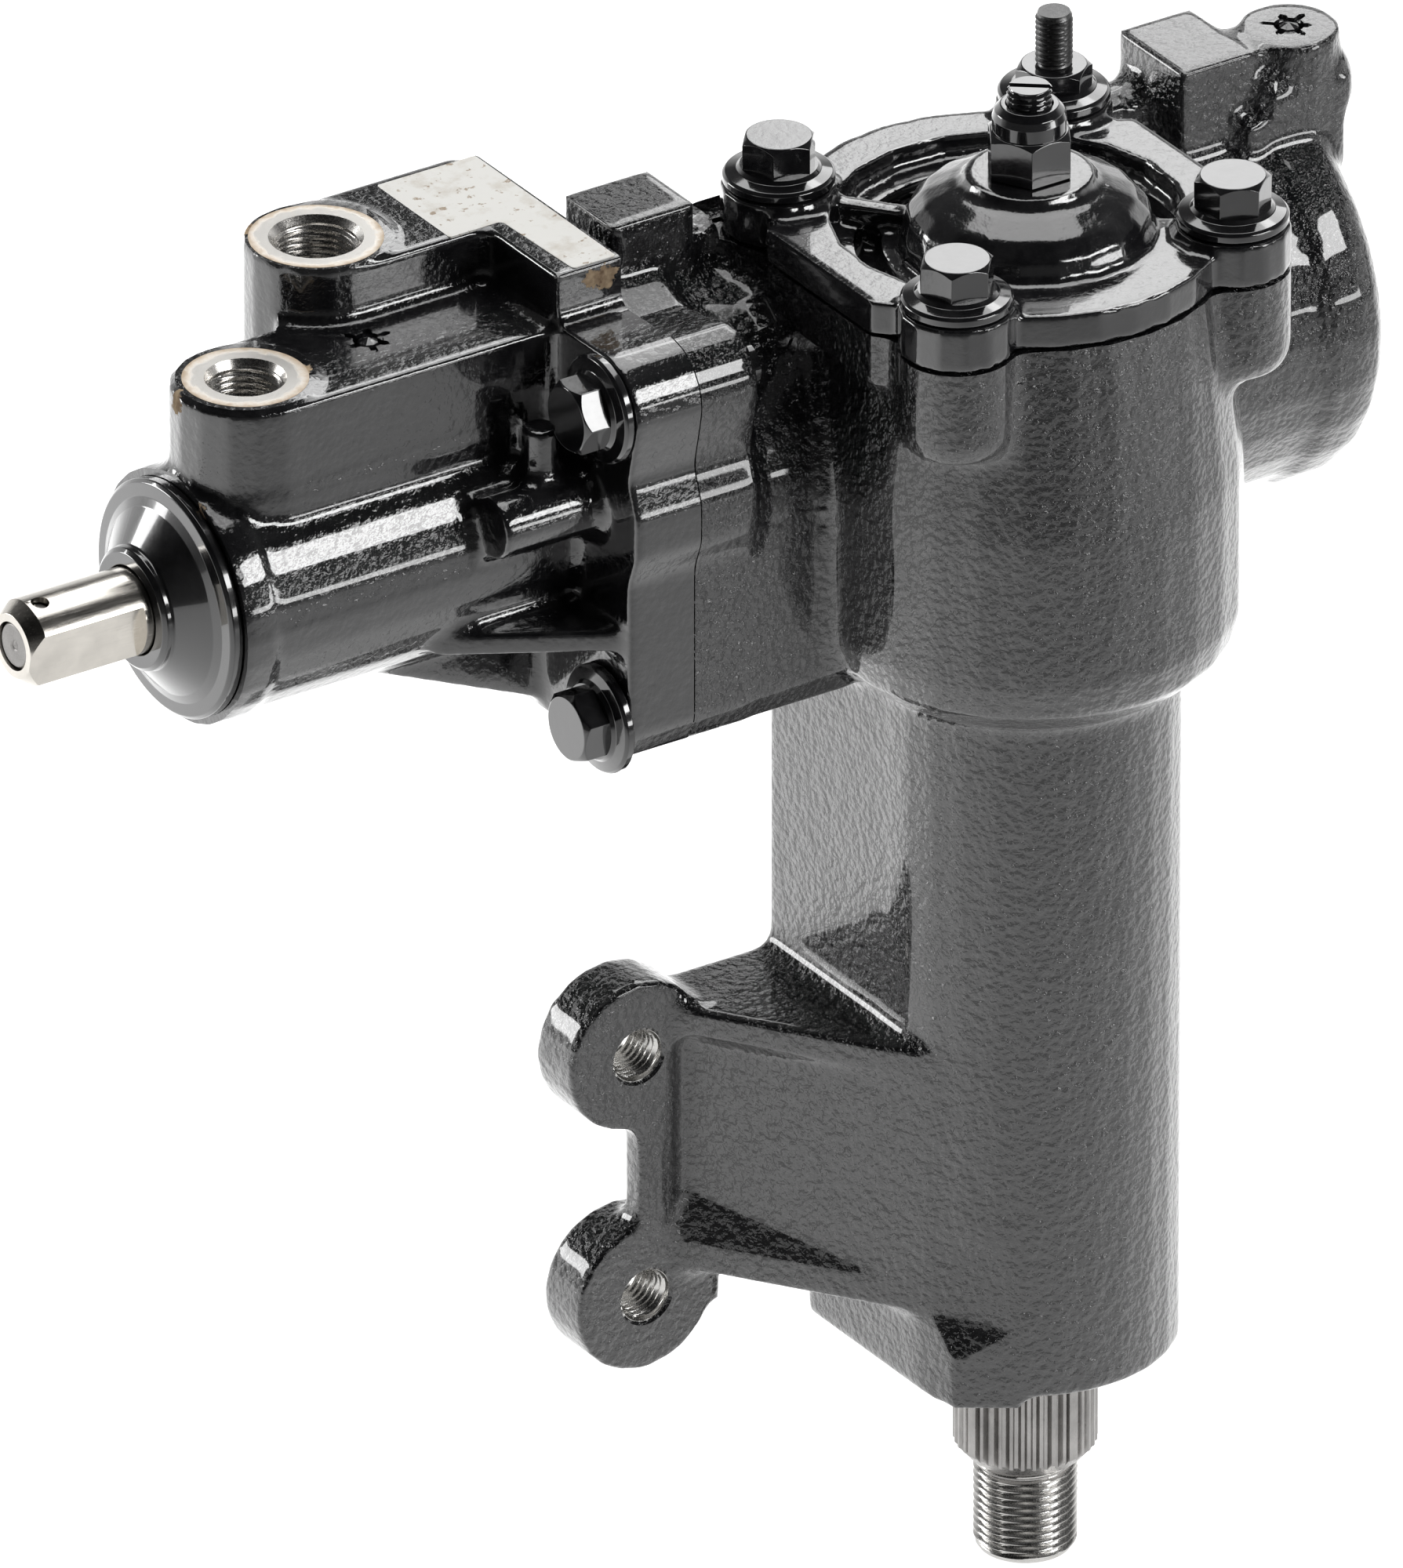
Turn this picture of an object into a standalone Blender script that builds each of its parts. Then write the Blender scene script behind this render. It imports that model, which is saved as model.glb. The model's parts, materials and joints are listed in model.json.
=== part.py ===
"""Power steering gearbox with a recirculating-ball worm, a rack piston and a sector shaft.

Lengths are in millimetres and are turned into metres when a shape is made.
The sector shaft stands on +Z with its threaded tip at the origin. The worm lies along X,
its input end towards -X, and the frame mounting face looks towards +Y.
"""

import math

import bmesh
import bpy
from mathutils import Matrix, Vector

MM = 0.001
CLEAR = 0.3

# Sides of round shapes, from the large castings to the small holes
FINE = 28
MEDIUM = 20
FEW_SIDES = 14
MIN_SIDES = 8
HOLE_SIDES = 10
TRACK_STEPS = 14
SEAM_ANGLE = 0.0371

# Gearing
MODULE = 4.5
SECTOR_TEETH_FULL_CIRCLE = 14
SECTOR_TEETH = 5
PRESSURE_ANGLE = math.radians(25.0)
BACKLASH = 0.5
ADDENDUM = 4.0
DEDENDUM = 4.3
PITCH_RADIUS = MODULE * SECTOR_TEETH_FULL_CIRCLE / 2.0
TOOTH_PITCH = math.pi * MODULE
WORM_LEAD = TOOTH_PITCH
RACK_PITCH_OFFSET = 20.5

# Worm axis
WORM_Y = PITCH_RADIUS + RACK_PITCH_OFFSET
WORM_Z = 256.3

# Gear housing
CYLINDER_BORE = 37.5
BARREL_RADIUS = 45.5
BARREL_REAR_X = 98.7
PARTING_X = -80.0
PARTING_HALF_GAP = 0.15
CYLINDER_END_X = 88.0
BARREL_EDGE = 9.0
LOBE_RADIUS = 12.0
PASSAGE_Z = 303.0
PASSAGE_RADIUS = 3.5
PASSAGE_RIDGE = 7.0
LUG_TOP_Z = 318.0
REAR_BOSS = (93.7, 41.6)
PLUG_BALL = 3.0
SEAL_BORE = 22.3
CHAMBER_RADIUS = 45.5
CHAMBER_BORE = 36.0
COVER_SEAL_STEP = CHAMBER_BORE + 1.2
CHAMBER_BOTTOM_Z = 213.0
CHAMBER_FILLET = 15.0
COVER_SEAT_Z = 306.35
TUBE_RADIUS = 33.0
TUBE_BOTTOM_Z = 52.0
TUBE_BORE = 18.1
MOUNT_FACE_Y = 50.0
MOUNT_PAD_Z = (170.0, 223.0)
MOUNT_HOLE = (-12.0, 190.0)
BRACKET_TOP_Z = 131.8
BRACKET_BOTTOM_Z = 68.8
EAR_FACE_Y = 36.0
EAR_RADIUS = 17.4
EAR_PLATE = 6.5
WEB_ROOT = (-26.9, -18.5)
WEB_END = (-64.7, 35.6)
WEB_RECESS = 4.5
WEB_RIB_HEIGHT = 6.6
EAR_THREAD_RADIUS = 5.1
UPPER_EAR = (-74.3, 122.5)
LOWER_EAR = (-72.4, 64.3)

# Valve housing
FLANGE_FRONT_X = -96.3
FLANGE_HALF_WIDTH = 45.8
FLANGE_BOLT = 36.7
FAR_BOLT = (44.0, 25.0)
VALVE_FRONT_X = -180.0
VALVE_BODY_RADIUS = 27.5
VALVE_BORE = 19.3
THRUST_BORE = 23.3
NEEDLE_BORE = 13.3
INPUT_SEAL_BORE = 15.3
SEAL_RECESS_BACK_X = -173.9
O_RING_INNER = 40.0
O_RING_OUTER = 43.0
O_RING_DEPTH = 2.6
LABEL_PAD_Y = (34.0, 90.0)
LOWER_DECK_Z = 303.3
UPPER_DECK_Z = 315.9
SMALL_PORT = (-163.2, 50.8)
SMALL_PORT_THREAD = 7.3
LARGE_PORT = (-129.1, 76.0)
LARGE_PORT_THREAD = 8.3
BALL_PLUG = (-132.0, 51.6)

# Sector cover
COVER_BOTTOM_Z = COVER_SEAT_Z + CLEAR
COVER_THICKNESS = 7.85
COVER_TOP_Z = COVER_BOTTOM_Z + COVER_THICKNESS
COVER_BOSS_RISE = 2.5
COVER_BOSS_Z = COVER_TOP_Z + COVER_BOSS_RISE
COVER_FRONT_ARC = 41.0
COVER_REAR_ARC = 44.0
COVER_HALF_WIDTH = 46.5
COVER_PILOT = CHAMBER_BORE - CLEAR
COVER_RECESS = 37.5
RECESS_DEPTH = 5.0
RECESS_FLOOR_Z = COVER_TOP_Z - RECESS_DEPTH
COVER_RIB_ANGLES = (-28.0, 52.0, 128.0, 208.0)
COVER_HUB = 23.0
COVER_HUB_BOTTOM_Z = 281.5
BUSHING_BORE = 19.0
BUSHING_TOP_Z = 304.5
ADJUSTER_RADIUS = 4.9
COVER_BOSS_RADIUS = 12.5
COVER_BOLT_X = 34.75
COVER_FRONT_BOLT_Y = -24.9
COVER_REAR_BOLT_Y = 42.7
DOME_RADIUS = 26.6
COLLAR_RADIUS = 14.0
COLLAR_HEIGHT = 13.5
COLLAR_TOP_Z = COVER_TOP_Z + COLLAR_HEIGHT

# Bolts
BOLT_SHANK = 4.7
BOLT_TAP = BOLT_SHANK + 2.0 * CLEAR
BOLT_HOLE = BOLT_SHANK + 3.0 * CLEAR
BOLT_FLANGE = 12.0
BOLT_HEX = 8.25
STUD_RADIUS = 4.2

# Lash adjustment
LOCK_NUT_CORNER = 9.7
LOCK_NUT_HEIGHT = 9.7
LOCK_NUT_COLLAR = 8.0
LOCK_NUT_COLLAR_HEIGHT = 6.0
ADJUSTER_STANDOUT = 4.0
LOCK_NUT_TOP_Z = COLLAR_TOP_Z + CLEAR + LOCK_NUT_HEIGHT
ADJUSTER_TOP_Z = LOCK_NUT_TOP_Z + LOCK_NUT_COLLAR_HEIGHT + ADJUSTER_STANDOUT
ADJUSTER_HEAD_TOP_Z = 297.4
ADJUSTER_HEAD = 8.6
TRUNNION_TOP_Z = 303.2

# Rotary valve
SPOOL_X = (-152.0, -113.5)
INPUT_TAIL = 8.0
INPUT_TAIL_END_X = -95.5
INPUT_FLAT = 6.985
FLAT_ANGLE = math.radians(12.0)
INPUT_TIP_X = -220.8
PIN_X = INPUT_TIP_X + 6.0
PIN_RADIUS = 1.7
PIN_ANGLE = math.radians(99.5)
SLEEVE_X = (-152.0, -103.5)
SLEEVE_GROOVE = 16.8
SLEEVE_RING_X = (-146.5, -127.5, -109.0)
SLEEVE_HOLE_X = -137.0
WORM_HEAD_X = -112.5
THRUST_FLANGE_X = (-95.9, -90.5)
THRUST_FLANGE_RADIUS = 20.5

# Shafts
INPUT_RADIUS = 9.525
SPOOL_RADIUS = 11.5
TORSION_BAR_RADIUS = 3.6
TORSION_HEAD_RADIUS = 5.1
WORM_RADIUS = 10.8
BALL_CIRCLE = 11.5
BALL_RADIUS = 3.0
GROOVE_RADIUS = 3.75
BALL_COUNT = 14
CIRCUIT_TURNS = 2.5
CIRCUIT_MID_X = -22.0
WORM_TRACK_X = (-63.5, 19.5)
NUT_BORE = 12.2
RACK_RADIUS = CYLINDER_BORE - CLEAR
RACK_FRONT_X = -57.0
RACK_REAR_X = 58.0
PISTON_RING_X = (49.0, 53.4)
PISTON_RING_DEPTH = 3.2
PISTON_RING_FLOOR = RACK_RADIUS - PISTON_RING_DEPTH
GUIDE_FLOOR = 19.0
GUIDE_RADIUS = 3.9
GUIDE_SCREWS = ((-33.0, -7.0), (-11.0, 7.0))
SPLINE_TEETH = 36
SPLINE_RADIUS = 15.4
SPLINE_ROOT = 14.2
SECTOR_HUB = 23.0
THREAD_TIP_RADIUS = 11.1
SECTOR_BODY_RADIUS = 17.5
TRUNNION_RADIUS = 16.0
SECTOR_GEAR_HALF_HEIGHT = 22.0

PARTS_NAME = "steering_gearbox"
CUTTERS_NAME = "cutters"

ALONG_Z = Matrix.Identity(4)
ALONG_X = Matrix(((0, 0, 1, 0), (1, 0, 0, 0), (0, 1, 0, 0), (0, 0, 0, 1)))
ALONG_Y = Matrix(((0, 1, 0, 0), (0, 0, 1, 0), (1, 0, 0, 0), (0, 0, 0, 1)))
TOWARDS_DRIVER = Matrix(((0, 0, -1, 0), (-1, 0, 0, 0), (0, 1, 0, 0), (0, 0, 0, 1)))

# Paints and metals: colour, roughness, metallic
PAINT_CAST = ((0.012, 0.012, 0.013), 0.30, 0.0)
PAINT_SMOOTH = ((0.010, 0.010, 0.011), 0.18, 0.0)
BRIGHT_STEEL = ((0.62, 0.60, 0.57), 0.28, 1.0)
GROUND_STEEL = ((0.52, 0.51, 0.50), 0.34, 1.0)
CAST_STEEL = ((0.33, 0.32, 0.31), 0.45, 1.0)
BALL_STEEL = ((0.75, 0.75, 0.76), 0.10, 1.0)
BRONZE = ((0.55, 0.36, 0.18), 0.35, 1.0)
RUBBER = ((0.02, 0.02, 0.02), 0.75, 0.0)
RING_POLYMER = ((0.10, 0.07, 0.05), 0.45, 0.0)


def clear_scene():
    for item in list(bpy.data.objects):
        bpy.data.objects.remove(item, do_unlink=True)


def new_collection(name):
    collection = bpy.data.collections.new(name)
    bpy.context.scene.collection.children.link(collection)
    return collection


clear_scene()
PARTS = new_collection(PARTS_NAME)
CUTTERS = new_collection(CUTTERS_NAME)


def at(x, y, z, turn=ALONG_Z):
    """A place in the assembly, in millimetres, with the shape's own Z turned along an axis."""
    return Matrix.Translation(Vector((x, y, z)) * MM) @ turn


def on_worm(x, turn=ALONG_X):
    return at(x, WORM_Y, WORM_Z, turn)


def on_worm_at(across, up):
    """A line beside the worm axis and parallel to it."""
    return at(0.0, WORM_Y + across, WORM_Z + up, ALONG_X)


SECTOR_AXIS = at(0.0, 0.0, 0.0)
WORM_AXIS = on_worm(0.0)


def put(name, mesh, place):
    item = bpy.data.objects.new(name, mesh)
    item.matrix_world = place
    PARTS.objects.link(item)
    return item


def finish_mesh(name, bm):
    bmesh.ops.scale(bm, vec=(MM, MM, MM), verts=bm.verts)
    mesh = bpy.data.meshes.new(name)
    bm.to_mesh(mesh)
    bm.free()
    return mesh


def rod(name, radius, low, high, place, sides=FINE, top_radius=None):
    bm = bmesh.new()
    end_radius = radius if top_radius is None else top_radius
    bmesh.ops.create_cone(
        bm, cap_ends=True, segments=sides, radius1=radius, radius2=end_radius, depth=high - low
    )
    bmesh.ops.translate(bm, vec=(0.0, 0.0, (low + high) / 2.0), verts=bm.verts)
    return put(name, finish_mesh(name, bm), place @ seam(radius, sides))


def seam(radius, sides):
    """Turns a round shape about its own axis, so that shapes on one axis have no facets in line."""
    if sides <= 6:
        return Matrix.Identity(4)
    return Matrix.Rotation(radius * SEAM_ANGLE, 4, "Z")


def box(name, low, high, place=ALONG_Z):
    bm = bmesh.new()
    bmesh.ops.create_cube(bm, size=1.0)
    size = [b - a for a, b in zip(low, high)]
    middle = [(a + b) / 2.0 for a, b in zip(low, high)]
    bmesh.ops.scale(bm, vec=size, verts=bm.verts)
    bmesh.ops.translate(bm, vec=middle, verts=bm.verts)
    return put(name, finish_mesh(name, bm), place)


def ball(name, radius, place, segments=8, rings=4):
    bm = bmesh.new()
    bmesh.ops.create_uvsphere(bm, u_segments=segments, v_segments=rings, radius=radius)
    return put(name, finish_mesh(name, bm), place)


def turned(name, profile, place, steps=FINE):
    """A turned solid: (radius, height) pairs run down the outer side, then back up the inner side."""
    bm = bmesh.new()
    points = [bm.verts.new((radius, 0.0, height)) for radius, height in profile]
    for first, second in zip(points, points[1:]):
        bm.edges.new((first, second))
    if profile[0][0] > 0.0 or profile[-1][0] > 0.0:
        bm.edges.new((points[-1], points[0]))
    item = put(name, finish_mesh(name, bm), place @ seam(sum(radius for radius, _ in profile), steps))
    screw = item.modifiers.new("turn", "SCREW")
    screw.axis = "Z"
    screw.steps = steps
    screw.render_steps = steps
    screw.use_merge_vertices = True
    screw.merge_threshold = 0.00001
    screw.use_smooth_shade = False
    return item


def slab(name, outline, low, high, place):
    """A flat outline given thickness along the shape's own Z."""
    curve = bpy.data.curves.new(name, "CURVE")
    curve.dimensions = "2D"
    curve.fill_mode = "BOTH"
    curve.extrude = (high - low) / 2.0 * MM
    spline = curve.splines.new("POLY")
    spline.points.add(len(outline) - 1)
    for point, (x, y) in zip(spline.points, outline):
        point.co = (x * MM, y * MM, 0.0, 1.0)
    spline.use_cyclic_u = True
    return curve_to_part(name, curve, place @ Matrix.Translation((0.0, 0.0, (low + high) / 2.0 * MM)))


def tube(name, route, radius, place, resolution=2):
    """A round bar swept along a route of points."""
    curve = bpy.data.curves.new(name, "CURVE")
    curve.dimensions = "3D"
    curve.bevel_depth = radius * MM
    curve.bevel_resolution = resolution
    curve.use_fill_caps = True
    spline = curve.splines.new("POLY")
    spline.points.add(len(route) - 1)
    for point, place_on_route in zip(spline.points, route):
        point.co = (*(Vector(place_on_route) * MM), 1.0)
    return curve_to_part(name, curve, place)


def curve_to_part(name, curve, place):
    source = bpy.data.objects.new(name + "_curve", curve)
    PARTS.objects.link(source)
    source.matrix_world = place
    bpy.context.view_layer.update()
    evaluated = source.evaluated_get(bpy.context.evaluated_depsgraph_get())
    mesh = bpy.data.meshes.new_from_object(evaluated)
    matrix = source.matrix_world.copy()
    bpy.data.objects.remove(source, do_unlink=True)
    bm = bmesh.new()
    bm.from_mesh(mesh)
    bmesh.ops.remove_doubles(bm, verts=bm.verts, dist=0.00001)
    bmesh.ops.dissolve_limit(bm, angle_limit=0.001, verts=bm.verts, edges=bm.edges)
    bmesh.ops.recalc_face_normals(bm, faces=bm.faces)
    bm.to_mesh(mesh)
    bm.free()
    return put(name, mesh, matrix)


def arc(centre, radius, start, stop, steps):
    """Points along an arc, angles in degrees."""
    points = []
    for step in range(steps + 1):
        angle = math.radians(start + (stop - start) * step / steps)
        points.append((centre[0] + radius * math.cos(angle), centre[1] + radius * math.sin(angle)))
    return points


def rounded(corners, steps=2):
    """An outline whose corners are (x, y, radius) and are rounded where the radius is above zero."""
    outline = []
    count = len(corners)
    for index, (x, y, radius) in enumerate(corners):
        if radius <= 0.0:
            outline.append((x, y))
            continue
        here = Vector((x, y))
        before = (Vector(corners[index - 1][:2]) - here).normalized()
        after = (Vector(corners[(index + 1) % count][:2]) - here).normalized()
        half = math.acos(max(-1.0, min(1.0, before.dot(after)))) / 2.0
        reach = radius / math.tan(half)
        middle = here + (before + after).normalized() * radius / math.sin(half)
        first = here + before * reach - middle
        last = here + after * reach - middle
        turn = first.angle_signed(last)
        start = math.atan2(first.y, first.x)
        for step in range(steps + 1):
            angle = start - turn * step / steps
            outline.append((middle.x + radius * math.cos(angle), middle.y + radius * math.sin(angle)))
    return outline


def hide_as_tool(tool):
    PARTS.objects.unlink(tool)
    CUTTERS.objects.link(tool)
    tool.hide_render = True
    tool.display_type = "WIRE"


def combine(target, tools, operation):
    for tool in tools:
        step = target.modifiers.new(tool.name, "BOOLEAN")
        step.operation = operation
        step.solver = "EXACT"
        step.object = tool
        hide_as_tool(tool)


def join(target, *tools):
    combine(target, tools, "UNION")


def cut(target, *tools):
    combine(target, tools, "DIFFERENCE")


def soften(item, width, segments=1, angle=40.0):
    bevel = item.modifiers.new("edges", "BEVEL")
    bevel.width = width * MM
    bevel.segments = segments
    bevel.limit_method = "ANGLE"
    bevel.angle_limit = math.radians(angle)


def paint(item, look):
    colour, roughness, metallic = look
    material = bpy.data.materials.new(item.name)
    material.use_nodes = True
    shader = material.node_tree.nodes["Principled BSDF"]
    shader.inputs["Base Color"].default_value = (*colour, 1.0)
    shader.inputs["Roughness"].default_value = roughness
    shader.inputs["Metallic"].default_value = metallic
    material.diffuse_color = (*colour, 1.0)
    item.data.materials.clear()
    item.data.materials.append(material)
    item.data.shade_smooth()
    item.data.set_sharp_from_angle(angle=math.radians(35.0))
    return item



def flange_outline(top):
    """The outline shared by both castings at their joint, measured from the worm axis."""
    half = FLANGE_HALF_WIDTH
    low = -FLANGE_HALF_WIDTH - 0.2
    corners = [(-half, low, 8.0), (-half, -2.0, 3.0)]
    corners += [(-48.5, 5.0, 3.0), (-48.5, 14.0, 3.0), (-45.6, 22.0, 3.0)]
    near_lobe = arc((-FLANGE_BOLT, FLANGE_BOLT), LOBE_RADIUS, 200.0, 95.0, 5)
    far_lobe = arc(FAR_BOLT, LOBE_RADIUS, 75.0, -45.0, 5)
    corners += [(x, y, 0.0) for x, y in near_lobe + top + far_lobe]
    corners += [(half, 8.0, 3.0), (half, low, 8.0)]
    return rounded(corners)


def cover_outline():
    """The rim of the sector cover seen from above: a front arc, straight sides and a rear arc."""
    front = arc((0.0, 0.0), COVER_FRONT_ARC, 222.0, 318.0, 8)
    rear = arc((0.0, 12.0), COVER_REAR_ARC, 30.0, 150.0, 8)
    side = COVER_HALF_WIDTH
    return front + [(side, -10.0), (side, 30.0)] + rear + [(-side, 30.0), (-side, -10.0)]


def cover_bolt_places():
    rows = (COVER_FRONT_BOLT_Y, COVER_REAR_BOLT_Y)
    return [(side * COVER_BOLT_X, y) for y in rows for side in (-1.0, 1.0)]


def flange_bolt_places():
    """Bolt centres from the worm axis. The far upper bolt sits lower, clear of the port block."""
    square = FLANGE_BOLT
    return [(-square, square), FAR_BOLT, (-square, -square), (square, -square)]


# Gear housing


def barrel():
    rear = BARREL_REAR_X
    front = PARTING_X + 2.0
    waist = BARREL_RADIUS - 1.5
    profile = [
        (0.0, rear),
        *arc((BARREL_RADIUS - BARREL_EDGE, rear - BARREL_EDGE), BARREL_EDGE, 90.0, 0.0, 3),
        (BARREL_RADIUS, 83.0),
        (waist, 80.5),
        (waist, 50.0),
        (BARREL_RADIUS, 40.0),
        (BARREL_RADIUS, front),
        (0.0, front),
    ]
    return turned("gear_housing", profile, WORM_AXIS, FINE)


def sector_chamber():
    middle = (CHAMBER_RADIUS - CHAMBER_FILLET, CHAMBER_BOTTOM_Z + CHAMBER_FILLET)
    profile = [
        (0.0, COVER_SEAT_Z + 1.0),
        (COVER_FRONT_ARC, COVER_SEAT_Z + 1.0),
        (CHAMBER_RADIUS, 262.0),
        *arc(middle, CHAMBER_FILLET, 0.0, -90.0, 3),
        (0.0, CHAMBER_BOTTOM_Z),
    ]
    return turned("chamber", profile, SECTOR_AXIS, FINE)


def cover_column(x, y, bottom):
    round_end = arc((COVER_BOSS_RADIUS - 5.0, bottom + 5.0), 5.0, 0.0, -90.0, 2)
    top = COVER_SEAT_Z + 1.6
    profile = [(0.0, top), (COVER_BOSS_RADIUS, top), *round_end, (0.0, bottom)]
    return turned("cover_column", profile, at(x, y, 0.0), MEDIUM)


def bracket_web():
    """The slanted web between the tube and the ears, with a rib left along its top and bottom edges."""
    back = MOUNT_FACE_Y
    outline = [WEB_ROOT, WEB_END, (WEB_END[0], back - 0.2), (-15.3, back - 0.2), (-5.0, -10.0)]
    web = slab("bracket_web", outline, BRACKET_BOTTOM_Z, BRACKET_TOP_Z, SECTOR_AXIS)
    along = (Vector(WEB_END) - Vector(WEB_ROOT)).normalized()
    outward = Vector((-along.y, along.x))
    start = Vector(WEB_ROOT) + along * 3.0 + outward * 0.5
    end = Vector(WEB_END) + along
    wedge = [
        tuple(start),
        tuple(start + outward * 8.0),
        tuple(end + outward * 8.0),
        tuple(end - outward * WEB_RECESS),
    ]
    low = BRACKET_BOTTOM_Z + WEB_RIB_HEIGHT
    high = BRACKET_TOP_Z - WEB_RIB_HEIGHT
    recess = slab("bracket_recess", wedge, low, high, SECTOR_AXIS)
    pocket_outline = [(-59.0, back + 2.0), (-59.0, 41.5), (-44.0, 22.0), (-41.0, 22.0), (-41.0, back + 2.0)]
    pocket = slab("bracket_pocket", pocket_outline, low + 4.0, high - 4.0, SECTOR_AXIS)
    return web, recess, pocket


def ears():
    shapes = []
    for x, z in (UPPER_EAR, LOWER_EAR):
        shapes.append(rod("ear", EAR_RADIUS, EAR_FACE_Y, MOUNT_FACE_Y, at(x, 0.0, z, ALONG_Y), MEDIUM))
    plate_back = EAR_FACE_Y + EAR_PLATE
    shapes.append(box("ear_plate", (-74.1, EAR_FACE_Y + 0.1, 66.2), (-51.4, plate_back, 127.5)))
    root_front = EAR_FACE_Y + 0.3
    root_back = MOUNT_FACE_Y - 0.4
    shapes.append(box("upper_ear_root", (-73.1, root_front, 109.3), (-50.3, root_back, 128.9)))
    shapes.append(box("lower_ear_root", (-72.7, root_front, 58.1), (-53.3, root_back, 79.3)))
    return shapes


def foot():
    outer = [(-19.0, -27.0), (-31.0, -19.0), (-32.8, -8.0), (-32.8, 35.0)]
    inner = [(-18.0, 35.0), (-21.0, 12.0), (-21.0, -8.0), (-14.0, -17.0)]
    return slab("foot", outer + inner, TUBE_BOTTOM_Z - 2.5, TUBE_BOTTOM_Z + 21.0, SECTOR_AXIS)


def rear_passage_boss():
    x, y = REAR_BOSS
    upright = rod("rear_boss", 11.0, 292.0, LUG_TOP_Z, at(x, y, 0.0), FEW_SIDES)
    lying = rod("rear_boss_end", 10.8, 80.0, 105.3, at(0.0, y, 304.5, ALONG_X), FEW_SIDES)
    soften(lying, 3.0)
    block = box("rear_boss_block", (76.0, 31.0, 286.0), (101.5, 60.0, 303.0))
    return upright, lying, block


def gear_housing():
    housing = barrel()
    front = PARTING_X + PARTING_HALF_GAP
    half = FLANGE_HALF_WIDTH
    side = half - 0.2
    corners = [(-side, -half, 8.0), (-side, -2.0, 0.0), (side, -2.0, 0.0), (side, -half, 8.0)]
    top = [(x, y) for x, y in arc((0.0, 0.0), BARREL_RADIUS + 4.0, 115.0, 65.0, 6)]
    web, recess, pocket = bracket_web()
    mount_hole = at(MOUNT_HOLE[0], 0.0, MOUNT_HOLE[1], ALONG_Y)
    passage = at(0.0, WORM_Y, PASSAGE_Z, ALONG_X)
    join(
        housing,
        sector_chamber(),
        slab("cover_pad", cover_outline(), COVER_SEAT_Z - 12.0, COVER_SEAT_Z + 0.6, SECTOR_AXIS),
        *[cover_column(x, y, 283.0 if y < 0.0 else 292.0) for x, y in cover_bolt_places()],
        rod("tube", TUBE_RADIUS, TUBE_BOTTOM_Z, 226.0, SECTOR_AXIS, FINE),
        box("mount_wall", (-32.6, 1.0, BRACKET_BOTTOM_Z + 2.0), (-13.0, MOUNT_FACE_Y - 0.1, 224.0)),
        box("mount_pad", (-31.6, 12.0, MOUNT_PAD_Z[0]), (10.0, MOUNT_FACE_Y, MOUNT_PAD_Z[1])),
        slab("front_block", rounded(corners), front + 1.0, -38.0, WORM_AXIS),
        slab("front_flange", flange_outline(top), front, PARTING_X + 15.0, WORM_AXIS),
        rod("passage_ridge", PASSAGE_RIDGE, -78.0, 84.0, passage, MIN_SIDES),
        box("front_lug", (-77.0, 42.0, 290.0), (-56.0, 61.0, LUG_TOP_Z)),
        box("rear_lug", (62.0, 35.0, 288.0), (81.0, 59.5, LUG_TOP_Z)),
        *rear_passage_boss(),
        foot(),
        web,
        *ears(),
    )
    holes = [
        rod("cylinder_bore", CYLINDER_BORE, PARTING_X - 2.0, CYLINDER_END_X, WORM_AXIS, FINE),
        rod("chamber_bore", CHAMBER_BORE, CHAMBER_BOTTOM_Z + 15.0, COVER_SEAT_Z + 1.0, SECTOR_AXIS, FINE),
        rod("seal_step", COVER_SEAL_STEP, COVER_SEAT_Z - 3.0, COVER_SEAT_Z + 2.0, SECTOR_AXIS, FINE),
        rod("tube_bore", TUBE_BORE, 38.0, 232.0, SECTOR_AXIS, MEDIUM),
        rod("seal_bore", SEAL_BORE, 40.0, TUBE_BOTTOM_Z + 20.3, SECTOR_AXIS, MEDIUM),
        rod("bearing_bore", SEAL_BORE, 189.0, 231.0, SECTOR_AXIS, MEDIUM),
        rod("oil_passage", PASSAGE_RADIUS, PARTING_X - 2.0, 90.0, passage, MIN_SIDES),
        rod("rear_plug_hole", PLUG_BALL + CLEAR, 305.0, 320.0, at(*REAR_BOSS, 0.0), MIN_SIDES),
        rod("mount_hole", EAR_THREAD_RADIUS, 28.0, MOUNT_FACE_Y + 2.0, mount_hole, FEW_SIDES),
    ]
    seat_side = COVER_BOLT_X + COVER_BOSS_RADIUS + 1.3
    seat_back = COVER_REAR_BOLT_Y + COVER_BOSS_RADIUS + 2.2
    holes.insert(0, box("cover_seat", (-seat_side, -60.0, COVER_SEAT_Z), (seat_side, seat_back, 330.0)))
    for x, y in cover_bolt_places():
        bottom = 285.7 if y < 0.0 else 294.6
        holes.append(rod("cover_tap", BOLT_TAP, bottom, COVER_SEAT_Z + 1.0, at(x, y, 0.0), MIN_SIDES))
    for u, v in flange_bolt_places():
        place = on_worm_at(u, v)
        holes.append(rod("flange_tap", BOLT_TAP, PARTING_X - 2.0, PARTING_X + 23.0, place, MIN_SIDES))
    for x, z in (UPPER_EAR, LOWER_EAR):
        place = at(x, 0.0, z, ALONG_Y)
        tap = rod("ear_tap", EAR_THREAD_RADIUS, EAR_FACE_Y - 2.0, MOUNT_FACE_Y + 2.0, place, FEW_SIDES)
        holes.append(tap)
    cut(housing, recess, pocket, *holes)
    return paint(housing, PAINT_CAST)


# Valve housing and what is fixed to it


def port_block(name, port, radius, end_x, low, high):
    x, y = port
    outline = [(end_x, y - radius), (end_x, y + radius)] + arc((x, y), radius, 90.0, 270.0, 8)
    return slab(name, outline, low, high, SECTOR_AXIS)


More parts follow.
